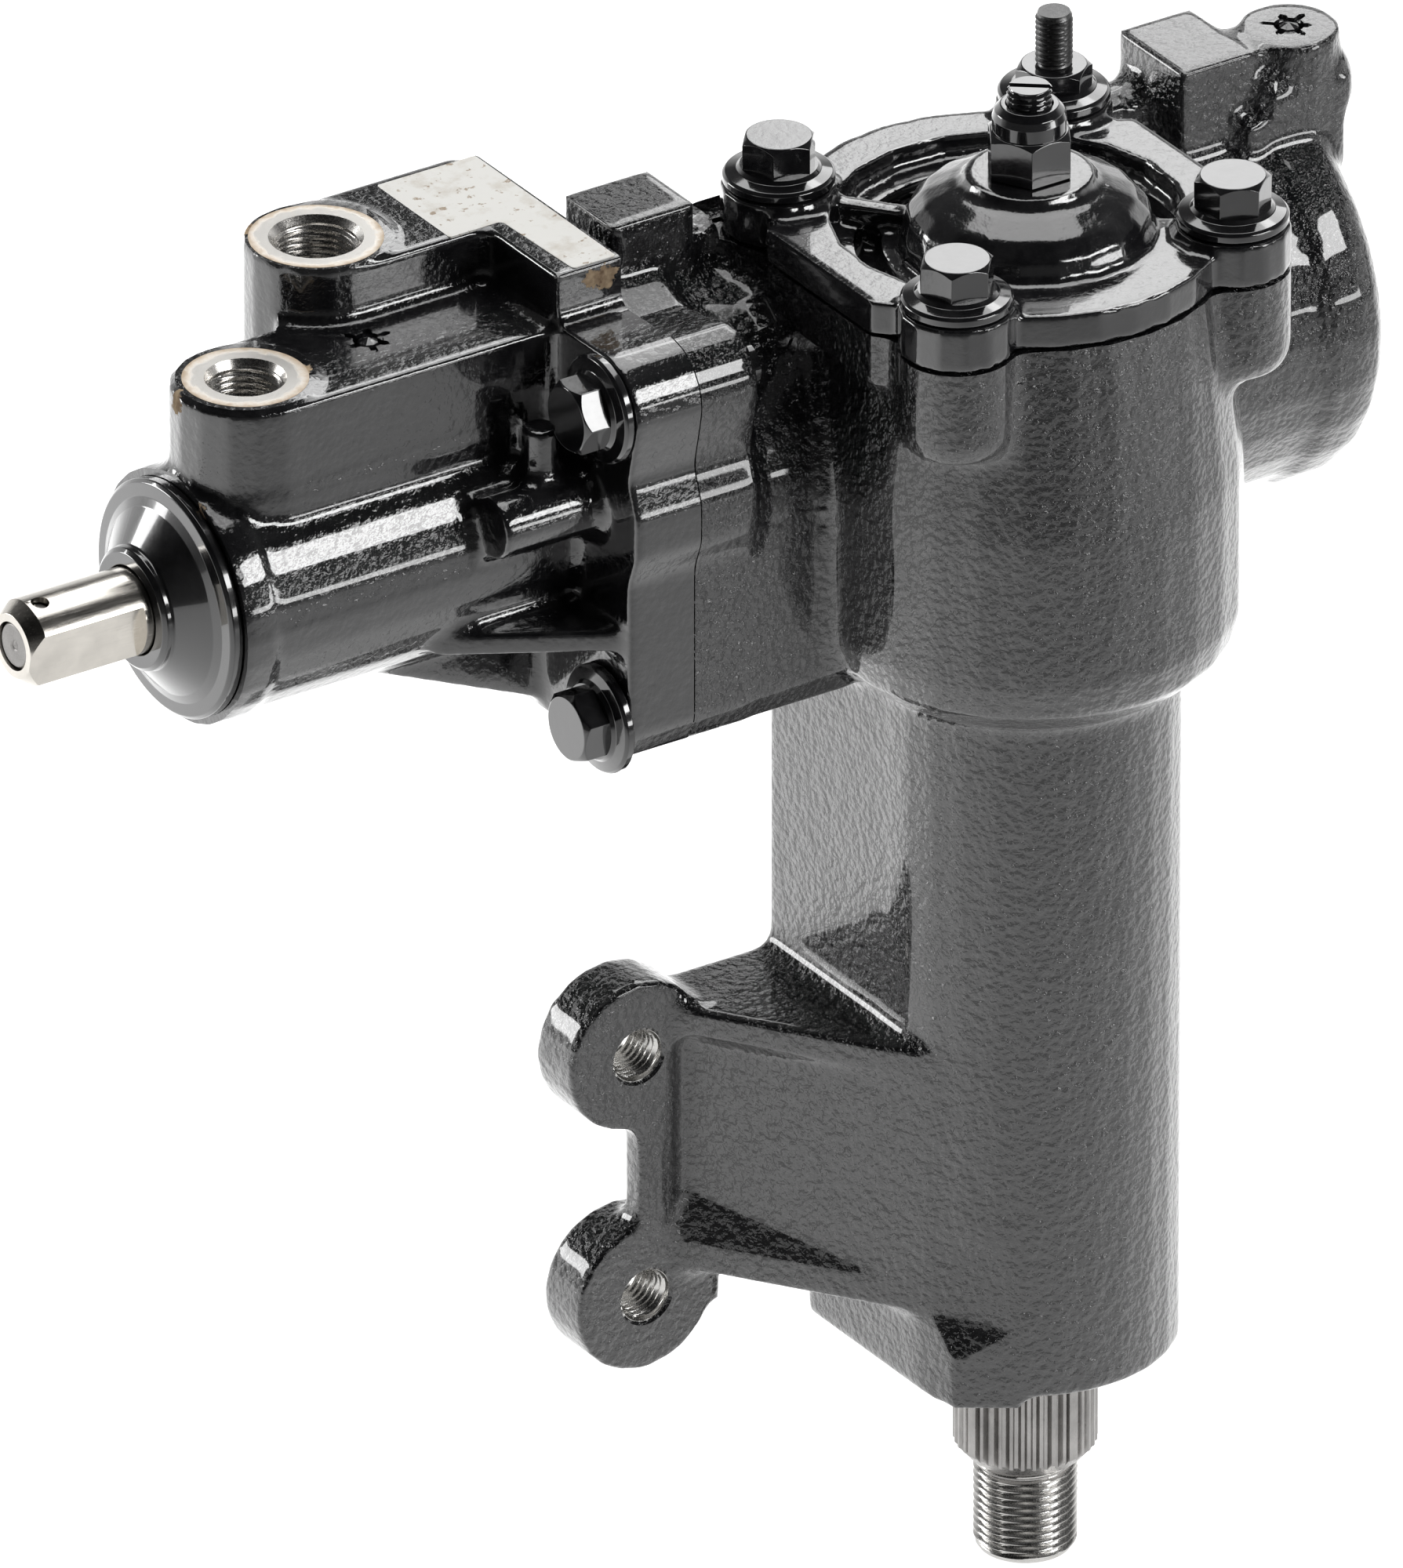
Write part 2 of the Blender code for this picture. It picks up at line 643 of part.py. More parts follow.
def valve_gussets():
    side = slab(
        "side_gusset",
        [(FLANGE_FRONT_X + 1.0, 8.0), (FLANGE_FRONT_X + 1.0, 30.0), (-131.0, 29.0)],
        WORM_Z - 18.5,
        WORM_Z - 13.5,
        SECTOR_AXIS,
    )
    under_outline = [(WORM_Z - 44.0, FLANGE_FRONT_X + 1.0), (WORM_Z - 22.0, FLANGE_FRONT_X + 1.0)]
    under_outline += [(WORM_Z - 22.0, -146.0)]
    under = slab("under_gusset", under_outline, WORM_Y - 12.0, WORM_Y - 6.0, at(0.0, 0.0, 0.0, ALONG_Y))
    return side, under


def valve_housing():
    back = PARTING_X - PARTING_HALF_GAP
    small = at(*SMALL_PORT, 0.0)
    large = at(*LARGE_PORT, 0.0)
    far_bolt = on_worm_at(*FAR_BOLT)
    body = [
        (0.0, -88.3),
        (VALVE_BODY_RADIUS, -88.3),
        (VALVE_BODY_RADIUS, -172.0),
        (VALVE_BODY_RADIUS + 0.7, -173.0),
        (VALVE_BODY_RADIUS + 0.7, -179.0),
        (VALVE_BODY_RADIUS - 0.5, VALVE_FRONT_X),
        (0.0, VALVE_FRONT_X),
    ]
    housing = turned("valve_housing", body, WORM_AXIS, FINE)
    pad_low = LABEL_PAD_Y[0] - WORM_Y
    pad_high = LABEL_PAD_Y[1] - WORM_Y
    deck = UPPER_DECK_Z - 0.1 - WORM_Z
    top = [(pad_low, 48.0), (pad_low, deck), (pad_high, deck)]
    ledge_z = LOWER_DECK_Z - 20.0
    join(
        housing,
        slab("valve_flange", flange_outline(top), FLANGE_FRONT_X, back, WORM_AXIS),
        port_block("small_port_block", SMALL_PORT, 16.3, -86.1, 262.0, LOWER_DECK_Z),
        port_block("small_port_ledge", SMALL_PORT, 16.7, -87.2, 260.6, ledge_z),
        port_block("large_port_block", LARGE_PORT, 15.6, -84.9, 247.3, UPPER_DECK_Z),
        rod("small_port_face", 13.7, LOWER_DECK_Z - 2.0, LOWER_DECK_Z + 0.4, at(*SMALL_PORT, 0.0), MEDIUM),
        rod("large_port_face", 14.6, UPPER_DECK_Z - 2.0, UPPER_DECK_Z + 0.4, at(*LARGE_PORT, 0.0), MEDIUM),
        rod("side_boss", 7.0, -121.0, -90.0, at(0.0, 22.0, 268.3, ALONG_X), FEW_SIDES),
        rod("side_stub", 4.2, 262.0, 287.0, at(-106.0, 25.5, 0.0), MIN_SIDES),
        *valve_gussets(),
    )
    holes = [
        rod("valve_bore", VALVE_BORE, -158.0, -70.0, WORM_AXIS, FINE),
        rod("thrust_bore", THRUST_BORE, -100.0, -71.0, WORM_AXIS, FINE),
        rod("needle_bore", NEEDLE_BORE, -175.0, -157.0, WORM_AXIS, MEDIUM),
        rod("seal_recess", INPUT_SEAL_BORE, -190.0, SEAL_RECESS_BACK_X, WORM_AXIS, MEDIUM),
        rod("small_port", SMALL_PORT_THREAD, 272.5, 310.0, small, FEW_SIDES),
        rod("small_chamfer", 6.9, LOWER_DECK_Z - 1.6, LOWER_DECK_Z + 1.4, small, FEW_SIDES, 10.4),
        rod("large_port", LARGE_PORT_THREAD, 299.0, 320.0, large, FEW_SIDES),
        rod("large_port_drilling", 4.5, 262.0, 300.0, large, MIN_SIDES),
        rod("bolt_relief", BOLT_FLANGE + 0.8, -150.0, FLANGE_FRONT_X + CLEAR, far_bolt, FEW_SIDES),
        rod("large_chamfer", 7.9, UPPER_DECK_Z - 1.8, UPPER_DECK_Z + 1.4, large, FEW_SIDES, 11.4),
        rod("pressure_passage", 4.0, 62.0, LARGE_PORT[1], at(LARGE_PORT[0], 0.0, 266.0, ALONG_Y), MIN_SIDES),
        rod("ball_plug_hole", PLUG_BALL + CLEAR, 294.0, 306.0, at(*BALL_PLUG, 0.0), MIN_SIDES),
    ]
    for u, v in flange_bolt_places():
        place = on_worm_at(u, v)
        hole = rod("flange_hole", BOLT_HOLE, FLANGE_FRONT_X - 1.5, PARTING_X + 1.5, place, HOLE_SIDES)
        holes.append(hole)
    low = back - O_RING_DEPTH
    groove_ring = [(O_RING_OUTER, -70.0), (O_RING_OUTER, low), (O_RING_INNER, low), (O_RING_INNER, -70.0)]
    holes.append(turned("o_ring_groove", groove_ring, WORM_AXIS, FINE))
    cut(housing, *holes)
    return paint(housing, PAINT_SMOOTH)


def ring(name, inner, outer, low, high, place, look, steps=MEDIUM):
    profile = [(outer, high), (outer, low), (inner, low), (inner, high)]
    return paint(turned(name, profile, place, steps), look)


def valve_housing_seal():
    high = PARTING_X - PARTING_HALF_GAP - CLEAR + 0.1
    low = PARTING_X - PARTING_HALF_GAP - O_RING_DEPTH + CLEAR
    inner = O_RING_INNER + CLEAR
    outer = O_RING_OUTER - CLEAR
    return ring("valve_housing_seal", inner, outer, low, high, WORM_AXIS, RUBBER, FINE)


def seal_cover():
    """The pressed cap round the input shaft: a flat rim, a cone and a narrow lip."""
    bore = INPUT_RADIUS + CLEAR
    back = VALVE_FRONT_X - CLEAR
    profile = [
        (13.0, -191.5),
        (13.6, -190.8),
        (13.6, -189.0),
        (21.6, -183.0),
        (25.2, -182.9),
        (26.2, -182.0),
        (26.2, back),
        (19.5, back),
        (12.0, -186.0),
        (bore, -186.0),
        (bore, -191.5),
    ]
    profile = [(radius, x) for radius, x in reversed(profile)]
    return paint(turned("seal_cover", profile, WORM_AXIS, MEDIUM), PAINT_SMOOTH)


# Sector cover


def sector_cover():
    cover = slab("sector_cover", cover_outline(), COVER_BOTTOM_Z, COVER_TOP_Z, SECTOR_AXIS)
    dome = [
        (0.0, COLLAR_TOP_Z),
        (COLLAR_RADIUS - 0.4, COLLAR_TOP_Z),
        (COLLAR_RADIUS, COLLAR_TOP_Z - 0.5),
        (COLLAR_RADIUS, COLLAR_TOP_Z - 2.0),
        (COLLAR_RADIUS + 3.0, COLLAR_TOP_Z - 3.0),
        (DOME_RADIUS - 4.1, COLLAR_TOP_Z - 5.7),
        (DOME_RADIUS - 1.0, COLLAR_TOP_Z - 9.0),
        (DOME_RADIUS, COVER_TOP_Z + 1.0),
        (DOME_RADIUS, RECESS_FLOOR_Z - 0.5),
        (0.0, RECESS_FLOOR_Z - 0.5),
    ]
    hub = rod("cover_hub", COVER_HUB, COVER_HUB_BOTTOM_Z, COVER_BOTTOM_Z + 3.0, SECTOR_AXIS, MEDIUM)
    pilot = rod("cover_pilot", COVER_PILOT, COVER_SEAT_Z - 5.0, COVER_BOTTOM_Z + 2.0, SECTOR_AXIS, FINE)
    join(cover, pilot, hub, turned("cover_dome", dome, SECTOR_AXIS, MEDIUM))
    for x, y in cover_bolt_places():
        place = at(x, y, 0.0)
        boss = rod("cover_boss", COVER_BOSS_RADIUS, COVER_BOTTOM_Z + 0.4, COVER_BOSS_Z, place, FEW_SIDES)
        join(cover, boss)
    recess = cover_recess()
    adjuster = ADJUSTER_RADIUS + CLEAR
    holes = [
        recess,
        rod("bushing_bore", BUSHING_BORE, COVER_HUB_BOTTOM_Z - 2.0, BUSHING_TOP_Z, SECTOR_AXIS, MEDIUM),
        rod("adjuster_hole", adjuster, BUSHING_TOP_Z - 2.0, COLLAR_TOP_Z + 2.0, SECTOR_AXIS, FEW_SIDES),
    ]
    for x, y in cover_bolt_places():
        place = at(x, y, 0.0)
        hole = rod("cover_hole", BOLT_HOLE, COVER_BOTTOM_Z - 2.0, COVER_BOSS_Z + 2.0, place, MIN_SIDES)
        holes.append(hole)
    cut(cover, *holes)
    return paint(cover, PAINT_SMOOTH)


def cover_recess():
    """The casting pocket round the back and sides of the dome, crossed by thin ribs."""
    inner = DOME_RADIUS + 0.6
    below = RECESS_FLOOR_Z - 5.0
    above = COVER_BOSS_Z + 3.0
    outline = [(COVER_RECESS, above), (COVER_RECESS, RECESS_FLOOR_Z), (2.0, RECESS_FLOOR_Z), (2.0, above)]
    pocket = turned("cover_recess", outline, at(0.0, 8.0, 0.0), MEDIUM)
    keep = [
        rod("dome_zone", inner, below, above + 2.0, SECTOR_AXIS, MEDIUM),
        box("front_plate", (-60.0, -60.0, below), (60.0, -14.0, above + 2.0)),
    ]
    for x, y in cover_bolt_places():
        place = at(x, y, 0.0)
        keep.append(rod("boss_zone", COVER_BOSS_RADIUS + 0.4, below, above + 2.0, place, FEW_SIDES))
    for angle in COVER_RIB_ANGLES:
        turn = Matrix.Rotation(math.radians(angle), 4, "Z")
        keep.append(box("recess_rib", (0.0, -2.0, below), (60.0, 2.0, above + 2.0), turn))
    cut(pocket, *keep)
    return pocket


def cover_seal():
    """The seal round the cover's pilot, in a step at the chamber mouth."""
    low = COVER_SEAT_Z - 3.0 + CLEAR
    outer = COVER_SEAL_STEP - 0.2
    return ring("sector_cover_seal", CHAMBER_BORE, outer, low, COVER_SEAT_Z, SECTOR_AXIS, RUBBER, FINE)


def cover_bushing():
    inner = TRUNNION_RADIUS + CLEAR
    return ring(
        "sector_cover_bushing", inner, BUSHING_BORE - CLEAR, 283.0, 303.0, SECTOR_AXIS, BRONZE
    )


def flange_bolt(name, place, shank_length, hex_top, look):
    """A hexagon bolt with a washer face; its place is where the washer face rests."""
    face = [
        (0.0, 4.3),
        (BOLT_HEX, 4.2),
        (BOLT_FLANGE, 2.2),
        (BOLT_FLANGE, CLEAR),
        (0.0, CLEAR),
    ]
    bolt = turned(name, face, place, FEW_SIDES)
    head = rod(name + "_hex", BOLT_HEX, 2.5, hex_top, place, 6)
    shank = rod(name + "_shank", BOLT_SHANK, -shank_length, 1.5, place, MIN_SIDES)
    join(bolt, head, shank)
    return paint(bolt, look)


def cover_bolts():
    made = []
    stud_place = (COVER_BOLT_X, COVER_REAR_BOLT_Y)
    number = 0
    for x, y in cover_bolt_places():
        reach = COVER_BOSS_Z - (287.0 if y < 0.0 else 296.5)
        place = at(x, y, COVER_BOSS_Z)
        if (x, y) == stud_place:
            made.append(stud_bolt(place, reach))
            continue
        number += 1
        made.append(flange_bolt(f"cover_bolt_{number}", place, reach, 11.0, PAINT_SMOOTH))
    return made


def stud_bolt(place, reach):
    bolt = flange_bolt("cover_stud_bolt", place, reach, 8.2, PAINT_SMOOTH)
    join(bolt, rod("stud", STUD_RADIUS, 6.0, 20.5, place, MIN_SIDES))
    return bolt


def valve_bolts():
    made = []
    for number, (u, v) in enumerate(flange_bolt_places(), 1):
        place = at(FLANGE_FRONT_X, WORM_Y + u, WORM_Z + v, TOWARDS_DRIVER)
        made.append(flange_bolt(f"valve_bolt_{number}", place, 36.0, 10.0, PAINT_SMOOTH))
    return made


# Lash adjustment


def lash_adjuster_screw():
    base = [
        (0.0, ADJUSTER_TOP_Z),
        (ADJUSTER_RADIUS - 1.0, ADJUSTER_TOP_Z),
        (ADJUSTER_RADIUS, ADJUSTER_TOP_Z - 1.0),
        (ADJUSTER_RADIUS, ADJUSTER_HEAD_TOP_Z),
        (ADJUSTER_HEAD, ADJUSTER_HEAD_TOP_Z),
        (ADJUSTER_HEAD, ADJUSTER_HEAD_TOP_Z - 4.0),
        (0.0, ADJUSTER_HEAD_TOP_Z - 4.0),
    ]
    screw = turned("lash_adjuster_screw", base, SECTOR_AXIS, FEW_SIDES)
    cut(screw, box("driver_slot", (-8.0, -0.8, ADJUSTER_TOP_Z - 2.4), (8.0, 0.8, ADJUSTER_TOP_Z + 1.0)))
    return paint(screw, CAST_STEEL)


def adjuster_lock_nut():
    low = COLLAR_TOP_Z + CLEAR
    nut = rod("adjuster_lock_nut", LOCK_NUT_CORNER, low, LOCK_NUT_TOP_Z, SECTOR_AXIS, 6)
    top = LOCK_NUT_TOP_Z + LOCK_NUT_COLLAR_HEIGHT
    collar = [
        (0.0, top),
        (LOCK_NUT_COLLAR - 1.0, top),
        (LOCK_NUT_COLLAR, top - 1.5),
        (LOCK_NUT_COLLAR, LOCK_NUT_TOP_Z - 1.0),
        (0.0, LOCK_NUT_TOP_Z - 1.0),
    ]
    join(nut, turned("nut_collar", collar, SECTOR_AXIS, FEW_SIDES))
    cut(nut, rod("nut_thread", ADJUSTER_RADIUS + CLEAR, low - 2.0, top + 2.0, SECTOR_AXIS, FEW_SIDES))
    return paint(nut, PAINT_SMOOTH)


def adjuster_retainer():
    low = ADJUSTER_HEAD_TOP_Z + CLEAR
    high = TRUNNION_TOP_Z - CLEAR
    bore = ADJUSTER_RADIUS + 0.4
    return ring("adjuster_retainer", bore, ADJUSTER_HEAD, low, high, SECTOR_AXIS, GROUND_STEEL, FEW_SIDES)


# Sector shaft


def involute(angle):
    return math.tan(angle) - angle


def tooth_half_angle(radius):
    base = PITCH_RADIUS * math.cos(PRESSURE_ANGLE)
    thickness = TOOTH_PITCH / 2.0 - BACKLASH
    at_pitch = thickness / 2.0 / PITCH_RADIUS + involute(PRESSURE_ANGLE)
    return at_pitch - involute(math.acos(min(1.0, base / radius)))


def sector_outline():
    """Five involute teeth about +Y, closed behind by a smaller hub."""
    root = PITCH_RADIUS - DEDENDUM
    tip = PITCH_RADIUS + ADDENDUM
    flank = [PITCH_RADIUS * math.cos(PRESSURE_ANGLE) + 0.1 + (tip - 28.65) * k / 4.0 for k in range(5)]
    step = 2.0 * math.pi / SECTOR_TEETH_FULL_CIRCLE
    points = []
    for tooth in range(SECTOR_TEETH):
        middle = math.pi / 2.0 + (tooth - (SECTOR_TEETH - 1) / 2.0) * step
        sides = [(root, -tooth_half_angle(flank[0]))]
        sides += [(radius, -tooth_half_angle(radius)) for radius in flank]
        sides += [(radius, tooth_half_angle(radius)) for radius in reversed(flank)]
        sides += [(root, tooth_half_angle(flank[0]))]
        points += [(radius * math.cos(middle + a), radius * math.sin(middle + a)) for radius, a in sides]
    edge = math.degrees(math.pi / 2.0 + (SECTOR_TEETH - 1) / 2.0 * step) + 20.0
    points += arc((0.0, 0.0), SECTOR_HUB, edge, 540.0 - edge, 12)
    return points


def spline_outline():
    points = []
    radii = (SPLINE_ROOT, SPLINE_ROOT, SPLINE_RADIUS, SPLINE_RADIUS)
    pitch = 360.0 / SPLINE_TEETH
    for tooth in range(SPLINE_TEETH):
        start = tooth * pitch
        for share, radius in zip((0.0, 0.22, 0.42, 0.78), radii):
            angle = math.radians(start + share * pitch)
            points.append((radius * math.cos(angle), radius * math.sin(angle)))
    return points


def sector_shaft():
    low = WORM_Z - SECTOR_GEAR_HALF_HEIGHT
    high = WORM_Z + SECTOR_GEAR_HALF_HEIGHT
    body = [
        (0.0, TRUNNION_TOP_Z),
        (TRUNNION_RADIUS, TRUNNION_TOP_Z),
        (TRUNNION_RADIUS, high - 1.0),
        (SECTOR_HUB - 0.4, high - 1.0),
        (SECTOR_HUB - 0.4, low + 1.0),
        (SECTOR_BODY_RADIUS, low + 1.0),
        (SECTOR_BODY_RADIUS, 60.0),
        (SPLINE_RADIUS - 1.2, 54.0),
        (SPLINE_ROOT - 0.5, 50.5),
        (SPLINE_ROOT - 0.5, 26.0),
        (THREAD_TIP_RADIUS, 22.0),
        (THREAD_TIP_RADIUS, 1.5),
        (THREAD_TIP_RADIUS - 1.5, 0.0),
        (0.0, 0.0),
    ]
    shaft = turned("sector_shaft", body, SECTOR_AXIS, MEDIUM)
    splines = slab("splines", spline_outline(), 22.5, 53.0, SECTOR_AXIS)
    limits = [
        (0.0, 55.0),
        (SPLINE_RADIUS + 0.5, 55.0),
        (SPLINE_RADIUS + 0.5, 27.0),
        (SPLINE_ROOT - 2.0, 22.8),
        (0.0, 22.8),
    ]
    combine(splines, [turned("spline_limits", limits, SECTOR_AXIS, MEDIUM)], "INTERSECT")
    teeth = slab("sector_teeth", sector_outline(), low, high, SECTOR_AXIS)
    join(shaft, teeth, splines)
    low = ADJUSTER_HEAD_TOP_Z - 4.0 - CLEAR
    high = TRUNNION_TOP_Z + 2.0
    cut(shaft, rod("adjuster_seat", ADJUSTER_HEAD + CLEAR, low, high, SECTOR_AXIS, FEW_SIDES))
    return paint(shaft, GROUND_STEEL)


def sector_bearings():
    shaft = SECTOR_BODY_RADIUS + CLEAR
    outer = SEAL_BORE - CLEAR
    origin = SECTOR_AXIS
    return [
        ring("sector_lower_bearing", shaft, outer, 189.4, 220.0, origin, CAST_STEEL),
        ring("sector_shaft_seal", shaft, outer, 62.0, 72.0, origin, RUBBER),
        ring("sector_dust_seal", shaft, outer, TUBE_BOTTOM_Z + 1.0, 61.0, origin, RUBBER),
    ]


# Worm, rack piston and balls


def helix(start_x, end_x, radius, steps_per_turn, phase_x):
    """Points along the ball track in the worm's own frame, where Z is the shaft line."""
    count = round((end_x - start_x) / WORM_LEAD * steps_per_turn)
    points = []
    for index in range(count + 1):
        x = start_x + (end_x - start_x) * index / count
        angle = 2.0 * math.pi * (x - phase_x) / WORM_LEAD
        points.append((radius * math.cos(angle), radius * math.sin(angle), x))
    return points


def circuit_start_x():
    return CIRCUIT_MID_X - CIRCUIT_TURNS / 2.0 * WORM_LEAD


def worm_shaft():
    body = [
        (0.0, 27.0),
        (7.0, 27.0),
        (8.0, 26.0),
        (8.0, 21.0),
        (WORM_RADIUS, 20.5),
        (WORM_RADIUS, THRUST_FLANGE_X[1]),
        (THRUST_FLANGE_RADIUS, THRUST_FLANGE_X[1]),
        (THRUST_FLANGE_RADIUS, THRUST_FLANGE_X[0]),
        (SPOOL_RADIUS, THRUST_FLANGE_X[0]),
        (SPOOL_RADIUS, WORM_HEAD_X),
        (0.0, WORM_HEAD_X),
    ]
    worm = turned("worm_shaft", body, WORM_AXIS, MEDIUM)
    track_route = helix(*WORM_TRACK_X, BALL_CIRCLE, TRACK_STEPS, circuit_start_x())
    track = tube("worm_track", track_route, GROOVE_RADIUS, WORM_AXIS, 1)
    socket_end = INPUT_TAIL_END_X + 1.0
    socket = rod("valve_socket", INPUT_TAIL + 0.4, WORM_HEAD_X - 2.0, socket_end, WORM_AXIS, FEW_SIDES)
    bar_seat = rod("bar_seat", TORSION_HEAD_RADIUS + CLEAR, WORM_HEAD_X - 3.0, -83.0, WORM_AXIS, FEW_SIDES)
    cut(worm, track, socket, bar_seat)
    return paint(worm, GROUND_STEEL)


def rack_piston():
    body = [
        (0.0, RACK_REAR_X),
        (RACK_RADIUS - 1.0, RACK_REAR_X),
        (RACK_RADIUS, RACK_REAR_X - 1.0),
        (RACK_RADIUS, PISTON_RING_X[1]),
        (PISTON_RING_FLOOR, PISTON_RING_X[1]),
        (PISTON_RING_FLOOR, PISTON_RING_X[0]),
        (RACK_RADIUS, PISTON_RING_X[0]),
        (RACK_RADIUS, RACK_FRONT_X + 1.0),
        (RACK_RADIUS - 1.0, RACK_FRONT_X),
        (0.0, RACK_FRONT_X),
    ]
    rack = turned("rack_piston", body, WORM_AXIS, FINE)
    flat_y = PITCH_RADIUS - ADDENDUM
    tools = [box("rack_flat", (-42.5, -20.0, 200.0), (42.5, flat_y, 310.0))]
    root = PITCH_RADIUS + DEDENDUM
    slope = math.tan(PRESSURE_ANGLE)
    half = TOOTH_PITCH / 4.0
    for space in range(SECTOR_TEETH):
        x = (space - (SECTOR_TEETH - 1) / 2.0) * TOOTH_PITCH
        mouth = half + (ADDENDUM + 1.0) * slope
        floor = half - DEDENDUM * slope
        low = flat_y - 1.0
        outline = [(x - mouth, low), (x - floor, root), (x + floor, root), (x + mouth, low)]
        tools.append(slab("tooth_space", outline, 200.0, 310.0, SECTOR_AXIS))
    circuit = CIRCUIT_TURNS * WORM_LEAD / 2.0 + 2.0
    low, high = CIRCUIT_MID_X - circuit, CIRCUIT_MID_X + circuit
    track_points = helix(low, high, BALL_CIRCLE, TRACK_STEPS, circuit_start_x())
    tools.append(rod("nut_bore", NUT_BORE, RACK_FRONT_X - 3.0, 50.0, WORM_AXIS, MEDIUM))
    tools.append(tube("nut_track", track_points, GROOVE_RADIUS, WORM_AXIS, 1))
    floor_z = WORM_Z + GUIDE_FLOOR
    tools.append(box("guide_pocket", (-46.5, WORM_Y - 16.5, floor_z), (2.5, WORM_Y + 16.5, 310.0)))
    for x, y in guide_legs():
        place = at(x, WORM_Y + y, 0.0)
        tools.append(rod("guide_hole", GUIDE_RADIUS + 0.5, WORM_Z, floor_z + 2.0, place, MIN_SIDES))
    for x, y in GUIDE_SCREWS:
        tools.append(rod("screw_hole", 2.3, WORM_Z + 15.6, floor_z + 2.0, at(x, WORM_Y + y, 0.0), MIN_SIDES))
    cut(rack, *tools)
    return paint(rack, GROUND_STEEL)


def guide_legs():
    start = circuit_start_x()
    return [(start, BALL_CIRCLE), (start + CIRCUIT_TURNS * WORM_LEAD, -BALL_CIRCLE)]


def ball_return_guide():
    """The return tube: two upright legs over the ends of the ball circuit and a bridge between them."""
    (x1, y1), (x2, y2) = guide_legs()
    top = WORM_Z + GUIDE_FLOOR + GUIDE_RADIUS + CLEAR
    lean = 2.6
    over = Vector((x2 - x1, y2 - y1)).normalized() * lean
    route = [
        (x1, WORM_Y + y1, WORM_Z + 14.5),
        (x1, WORM_Y + y1, top - lean),
        (x1 + over.x, WORM_Y + y1 + over.y, top),
        (x2 - over.x, WORM_Y + y2 - over.y, top),
        (x2, WORM_Y + y2, top - lean),
        (x2, WORM_Y + y2, WORM_Z + 14.5),
    ]
    return paint(tube("ball_return_guide", route, GUIDE_RADIUS, SECTOR_AXIS), BRIGHT_STEEL)


def guide_clamp():
    low = WORM_Z + GUIDE_FLOOR + 2.0 * GUIDE_RADIUS + 2.0 * CLEAR
    clamp = box("guide_clamp", (-37.5, WORM_Y - 10.8, low), (-6.5, WORM_Y + 10.8, low + 1.6))
    soften(clamp, 1.5)
    for x, y in GUIDE_SCREWS:
        cut(clamp, rod("clamp_hole", 2.4, low - 2.0, low + 4.0, at(x, WORM_Y + y, 0.0), MIN_SIDES))
    made = [paint(clamp, BRIGHT_STEEL)]
    for number, (x, y) in enumerate(GUIDE_SCREWS, 1):
        place = at(x, WORM_Y + y, low + 1.6 + CLEAR)
        screw = rod(f"guide_screw_{number}", 3.6, 0.0, 2.6, place, FEW_SIDES)
        join(screw, rod("screw_shank", 2.0, -13.3, 0.5, place, MIN_SIDES))
        made.append(paint(screw, CAST_STEEL))
    return made


def piston_seal_ring():
    low = PISTON_RING_X[0] + CLEAR
    high = PISTON_RING_X[1] - CLEAR
    inner = PISTON_RING_FLOOR + CLEAR
    return ring("piston_seal_ring", inner, RACK_RADIUS, low, high, WORM_AXIS, RING_POLYMER, FINE)


def balls():
    """Balls spaced evenly along the loaded part of the circuit."""
    start = circuit_start_x()
    made = []
    for number in range(BALL_COUNT):
        share = (number + 0.5) / BALL_COUNT
        turn = 2.0 * math.pi * CIRCUIT_TURNS * share
        y = WORM_Y + BALL_CIRCLE * math.cos(turn)
        z = WORM_Z + BALL_CIRCLE * math.sin(turn)
        place = at(start + CIRCUIT_TURNS * WORM_LEAD * share, y, z)
        made.append(paint(ball(f"ball_{number + 1:02d}", BALL_RADIUS, place), BALL_STEEL))
    return made


# Rotary valve and thrust bearings


def input_shaft():
    rear = INPUT_TAIL_END_X
    body = [
        (0.0, rear),
        (INPUT_TAIL, rear),
        (INPUT_TAIL, SPOOL_X[1]),
        (SPOOL_RADIUS, SPOOL_X[1]),
        (SPOOL_RADIUS, SPOOL_X[0]),
        (INPUT_RADIUS, SPOOL_X[0] - 2.0),
        (INPUT_RADIUS, INPUT_TIP_X + 2.6),
        (INPUT_RADIUS - 2.4, INPUT_TIP_X),
        (0.0, INPUT_TIP_X),
    ]
    shaft = turned("input_shaft", body, WORM_AXIS, MEDIUM)
    tools = [
        rod("bar_head_bore", TORSION_HEAD_RADIUS + CLEAR, INPUT_TIP_X - 2.0, -205.0, WORM_AXIS, FEW_SIDES),
        rod("bar_bore", TORSION_BAR_RADIUS + 0.4, -206.0, -80.0, WORM_AXIS, MIN_SIDES),
        rod("pin_hole", PIN_RADIUS + CLEAR, -12.0, 12.0, on_worm(PIN_X, pin_turn()), MIN_SIDES),
    ]
    for side in (0.0, math.pi):
        turn = ALONG_X @ Matrix.Rotation(FLAT_ANGLE + side, 4, "Z")
        low = (INPUT_FLAT, -12.0, INPUT_TIP_X - 2.0)
        high = (INPUT_FLAT + 6.0, 12.0, INPUT_TIP_X + 27.5)
        tools.append(box("flat", low, high, on_worm(0.0, turn)))
    for slot in range(6):
        turn = ALONG_X @ Matrix.Rotation(slot * math.pi / 3.0, 4, "Z")
        low = (SPOOL_RADIUS - 1.6, -2.0, SPOOL_X[0] + 6.0)
        high = (SPOOL_RADIUS + 3.0, 2.0, SPOOL_X[1] - 6.0)
        tools.append(box("spool_slot", low, high, on_worm(0.0, turn)))
    cut(shaft, *tools)
    return paint(shaft, BRIGHT_STEEL)


